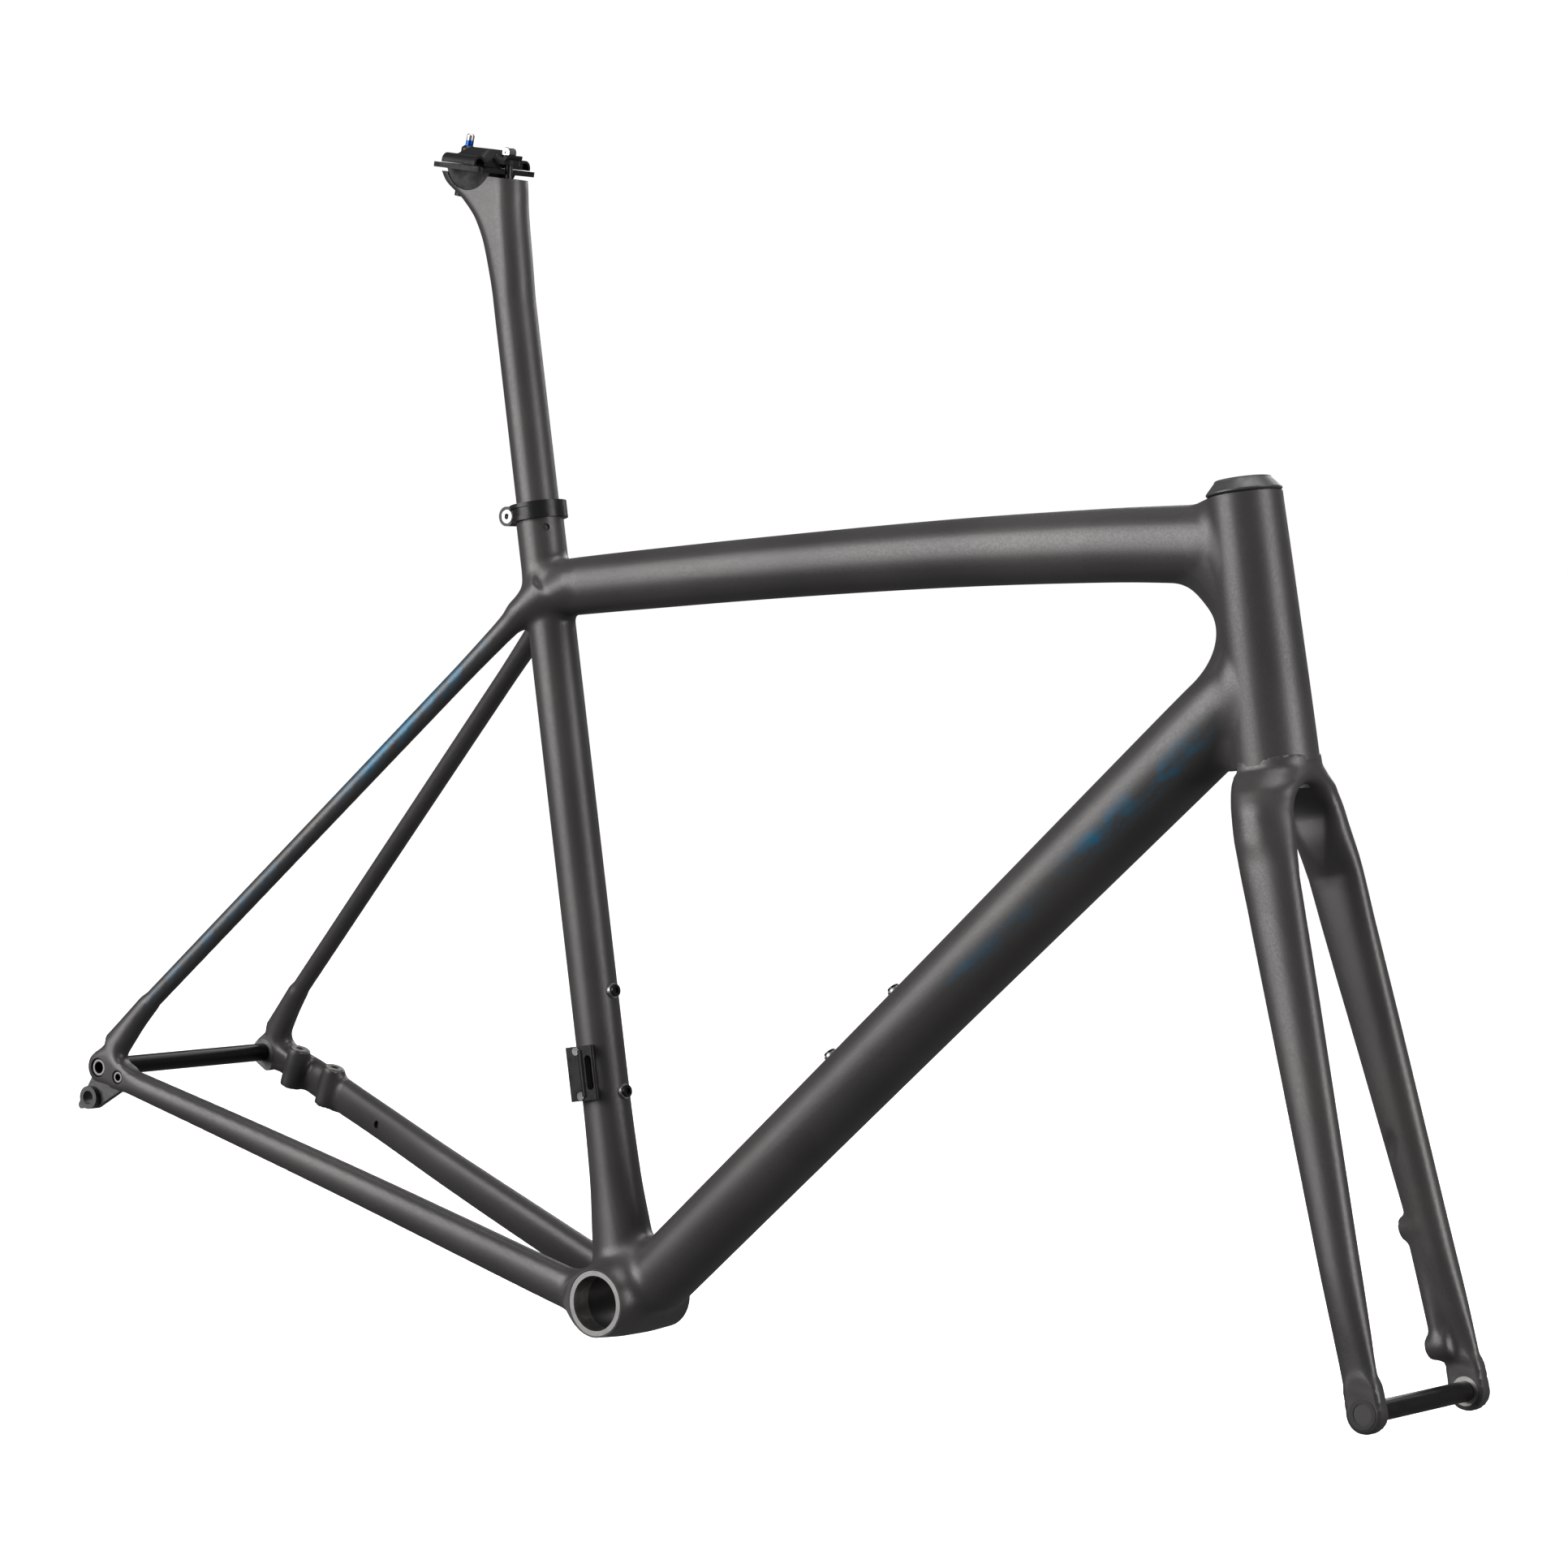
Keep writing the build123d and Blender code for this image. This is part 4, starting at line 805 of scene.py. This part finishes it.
hanger_ring = (REAR_AXLE[0] - 12.4, 49.6)
hanger_bolt = (REAR_AXLE[0] + 18.8, 70.2)
hanger_circles = ((REAR_AXLE[0], REAR_AXLE[2], 9.0), (*hanger_ring, 7.7), (*hanger_bolt, 5.2))
left_circles = ((REAR_AXLE[0], REAR_AXLE[2], 9.4), (REAR_AXLE[0] + 5.0, REAR_AXLE[2] - 7.5, 4.5))


def rear_bar(spot, y_low, y_high, radius, sides=96):
    return bar((spot[0], y_low, spot[1]), (spot[0], y_high, spot[1]), radius, sides)


axle_spot = (REAR_AXLE[0], REAR_AXLE[2])
keyhole_way = SEAT_AHEAD * math.cos(math.radians(36)) - ACROSS * math.sin(math.radians(36))
frame_cuts = [
    lathe(steer(0), STEER_UP, ((-24, 33), (0, 33))),
    lathe(steer(0), STEER_UP, ((-8, 23.5), (0, 23.5), (0.5, 23.0), (7.4, 23.0), (7.5, 21.5), (149.0, 17.0),
                               (149.1, 19.0), (155.6, 19.0), (156.0, 19.4), (170, 19.4))),
    lathe(steer(0), STEER_UP, ((156.0, 36), (182, 36))),
    lathe(seat_at(0), SEAT_UP, ((128, 13.65), (507.6, 13.65), (508.0, 14.0), (540, 14.0))),
    lathe(seat_at(0), SEAT_UP, ((508.0, 19), (540, 19))),
    lathe((0, 0, 0), ACROSS, ((-60, 21.2), (-34.0, 21.2), (-33.6, 20.6), (-20, 20.6), (-19.9, 18), (19.9, 18),
                              (20, 20.6), (33.6, 20.6), (34.0, 21.2), (60, 21.2))),
    lathe((0, 0, 0), ACROSS, ((34.0, 30), (60, 30))),
    lathe((0, 0, 0), ACROSS, ((-60, 30), (-34.0, 30))),
    rear_bar(axle_spot, -100, -REAR_OUTSIDE, 15),
    rear_bar(axle_spot, REAR_OUTSIDE, 100, 15),
    rear_bar(axle_spot, -REAR_INSIDE, -50, 12.5),
    rear_bar(axle_spot, 50, REAR_INSIDE, 12.5),
    rear_bar(axle_spot, -92, -75, 6.5),
    rear_bar(axle_spot, 75, 92, 6.5),
    rear_bar(axle_spot, 83.0, 92, 9.0),
    hull_plate(hanger_circles, -76.0, -60, 0.15),
    hull_plate(left_circles, 60, 76.0, 0.15),
    rear_bar(hanger_bolt, -92, -70, 3.2, 48),
    rear_bar(hanger_bolt, -92, -82.0, 4.7, 48),
    bar(seat_at(491.0), seat_at(491.0) + keyhole_way * 26, 2.3, 48),
    bar(REAR_PORT - (0, 12, 0), REAR_PORT + (0, 2.0, -2.0), 2.6, 48),
]
for point in BRAKE_SEATS:
    frame_cuts.append(bar(point + BRAKE_NORMAL * 8, point - BRAKE_NORMAL * 45, 4.0, 64))
    frame_cuts.append(bar(point + BRAKE_NORMAL * 8, point, 9.0, 64))
carve(frame_skin, frame_cuts)

# ---- the fork skin ------------------------------------------------------------------------------
fork_skin = mesh_object("fork_skin", *surface(fork_field, (415, -72, 55), (602, 72, 425), STEP))
front_spot = (FRONT_AXLE[0], FRONT_AXLE[2])
fork_cuts = [
    lathe(steer(0), STEER_UP, ((-1.4, 40), (20, 40))),
    bar(steer(-40), steer(10), 17.46),
    rear_bar(front_spot, -80, -49, 8.55),
    rear_bar(front_spot, 49, 80, 8.55),
    rear_bar(front_spot, -80, -FRONT_OUTSIDE, 15),
    rear_bar(front_spot, FRONT_OUTSIDE, 80, 15),
    rear_bar(front_spot, -FRONT_INSIDE, -36, 14),
    rear_bar(front_spot, 36, FRONT_INSIDE, 14),
    bar(FRONT_PORT - (0, 12, 0), FRONT_PORT + (0, 7.0, -2.0), 2.6, 48),
]
for point in BRAKE_FACES:
    fork_cuts.append(bar(point + LEG_REAR * 8, point, 8.0, 64))
    fork_cuts.append(bar(point + LEG_REAR * 8, point - LEG_REAR * 12.0, 4.22, 64))
carve(fork_skin, fork_cuts)

# ---- the seatpost skin ----------------------------------------------------------------------------
post_skin = mesh_object("post_skin", *surface(post_field, (-275, -20, 345), (-90, 20, 700), STEP / 1.33))
post_cuts = [
    bar((-226.0, -40, 698.0), (-226.0, 40, 698.0), 20.0, 128),
    crate((-290, -40, HEAD_RIM), (-150, 40, 720)),
    bar(seat_at(350), seat_at(680), 11.8),
    lathe(seat_at(0), SEAT_UP, ((330, 20), (370, 20))),
    crate((-245.6, -3.0, 673.4), (-235.8, 3.0, 691.4)),
    crate((-248.1, -4.9, 648.6), (-234.9, 4.9, 679.6)),
    crate((-206.6, -3.0, 673.2), (-196.8, 3.0, 691.2)),
    crate((-207.55, -4.9, 648.4), (-194.35, 4.9, 681.0)),
]
carve(post_skin, post_cuts)


# ---- where the laminate shows its plies, and where a teal sheen is painted into its colour --------
def near(points, start, end, radius):
    run = np.subtract(end, start)
    s = np.clip((points - start) @ run / (run @ run), 0, 1)
    d = np.linalg.norm(points - start - s[:, None] * run, axis=1)
    taper = np.clip(np.minimum(s, 1 - s) * 4, 0, 1)
    fade = np.clip(1 - d / radius, 0, 1)
    return fade * fade * (3 - 2 * fade) * taper


def paint(obj, name, patches):
    """A soft mask over the mesh, as the highest of several capsule-shaped patches."""
    points = np.zeros(len(obj.data.vertices) * 3)
    obj.data.vertices.foreach_get("co", points)
    points = points.reshape(-1, 3) / MM
    value = np.zeros(len(points))
    for start, end, radius, strength in patches:
        reach = near(points, np.array(start, float), np.array(end, float), radius)
        value = np.maximum(value, reach * strength)
    layer = obj.data.attributes.new(name, "FLOAT", "POINT")
    layer.data.foreach_set("value", value.astype(np.float32))


# Painted sheen: teal reflections painted low on the right-hand side of the down tube and along the right-hand
# seat stay.
paint(frame_skin, "painted_sheen", (
    ((400, -23, 435), (300, -25, 322), 11, 0.9),
    ((300, -25, 318), (225, -25, 238), 9, 0.45),
    ((-150, -20, 405), (-262, -46, 266), 8, 1.0),
    ((-262, -46, 262), (-380, -78, 115), 6, 0.5),
))
paint(frame_skin, "ply", (
    ((180, -10, 505), (420, -10, 520), 60, 1.0),
    ((420, 0, 440), (300, -10, 380), 60, 0.9),
    ((240, -10, 250), (90, -15, 90), 40, 0.5),
))
# Painted sheen: a teal reflection painted along the right-hand fork leg.
paint(fork_skin, "painted_sheen", (
    ((462, -24, 345), (540, -43, 150), 8, 0.8),
    ((560, -50, 115), (572, -54, 92), 8, 0.5),
))
paint(fork_skin, "ply", (((450, -40, 350), (500, -48, 250), 30, 0.3),))
paint(post_skin, "painted_sheen", ())
paint(post_skin, "ply", ())

finished(frame_skin, "frame", (
    "bottom_bracket_shell", "seat_tube", "head_tube", "top_tube", "down_tube", "dropout_right",
    "dropout_left", "chainstay_right", "chainstay_left", "seatstay_right", "seatstay_left",
), carbon)
finished(fork_skin, "fork", ("fork_crown", "fork_leg_right", "fork_leg_left"), carbon)
finished(post_skin, "seatpost", ("seatpost",), carbon)

# ---- camera, floor and light ------------------------------------------------------------------------
scene = bpy.context.scene
azimuth, elevation, roll = (math.radians(a) for a in (37.695, 6.985, 6.608))
flat = math.cos(elevation)
back = Vector((math.sin(azimuth) * flat, -math.cos(azimuth) * flat, math.sin(elevation)))
right = Vector((math.cos(azimuth), math.sin(azimuth), 0))
up = back.cross(right)
rolled_right = right * math.cos(roll) + up * math.sin(roll)
rolled_up = up * math.cos(roll) - right * math.sin(roll)
camera_data = bpy.data.cameras.new("camera")
camera_data.lens = 118.22
camera_data.sensor_width = 36.0
camera_data.clip_end = 50.0
camera = bpy.data.objects.new("camera", camera_data)
scene.collection.objects.link(camera)
aim = Vector((75.6, -0.25, 342.1)) * MM
turn = Matrix((rolled_right, rolled_up, back)).transposed().to_4x4()
camera.matrix_world = Matrix.Translation(aim + back * 3.166957) @ turn
scene.camera = camera


def lamp(name, position, target, size, power, colour=(1, 1, 1)):
    data = bpy.data.lights.new(name, "AREA")
    data.shape = "RECTANGLE"
    data.size, data.size_y = size
    data.energy = power
    data.color = colour
    light = bpy.data.objects.new(name, data)
    scene.collection.objects.link(light)
    light.location = position
    light.rotation_euler = (Vector(target) - Vector(position)).to_track_quat("-Z", "Y").to_euler()
    return light


centre = (0.08, 0.0, 0.33)
lamp("key", (-1.8, -2.9, 1.1), centre, (2.8, 2.4), 140)
lamp("front", (3.1, 0.3, 1.1), centre, (1.5, 2.0), 58)
lamp("top", (0.1, 0.2, 2.9), centre, (2.0, 1.6), 40)
lamp("back", (-0.6, 2.6, 1.6), centre, (2.0, 1.4), 30)

world = bpy.data.worlds.new("studio")
scene.world = world
world.use_nodes = True
world.node_tree.nodes["Background"].inputs["Color"].default_value = (1, 1, 1, 1)
world.node_tree.nodes["Background"].inputs["Strength"].default_value = 0.12

floor_mesh = bpy.data.meshes.new("floor")
work = bmesh.new()
bmesh.ops.create_circle(work, cap_ends=True, segments=96, radius=14.0)
work.to_mesh(floor_mesh)
work.free()
floor = bpy.data.objects.new("floor", floor_mesh)
scene.collection.objects.link(floor)
floor.location = (0, 0, -0.30)
pale = Look("pale_floor", (0.85, 0.85, 0.85), 0.9)
pale.set(pale.shader, "Emission Color", (1, 1, 1, 1))
pale.set(pale.shader, "Emission Strength", 0.9)
floor_mesh.materials.append(pale.material)
floor.visible_glossy = False
floor.visible_diffuse = False
wall_mesh = bpy.data.meshes.new("backdrop")
work = bmesh.new()
bmesh.ops.create_icosphere(work, subdivisions=5, radius=13.5)
work.to_mesh(wall_mesh)
work.free()
wall = bpy.data.objects.new("backdrop", wall_mesh)
scene.collection.objects.link(wall)
wall_mesh.materials.append(pale.material)
wall.visible_glossy = False
wall.visible_diffuse = False
wall.visible_shadow = False

scene.view_settings.view_transform = "Standard"
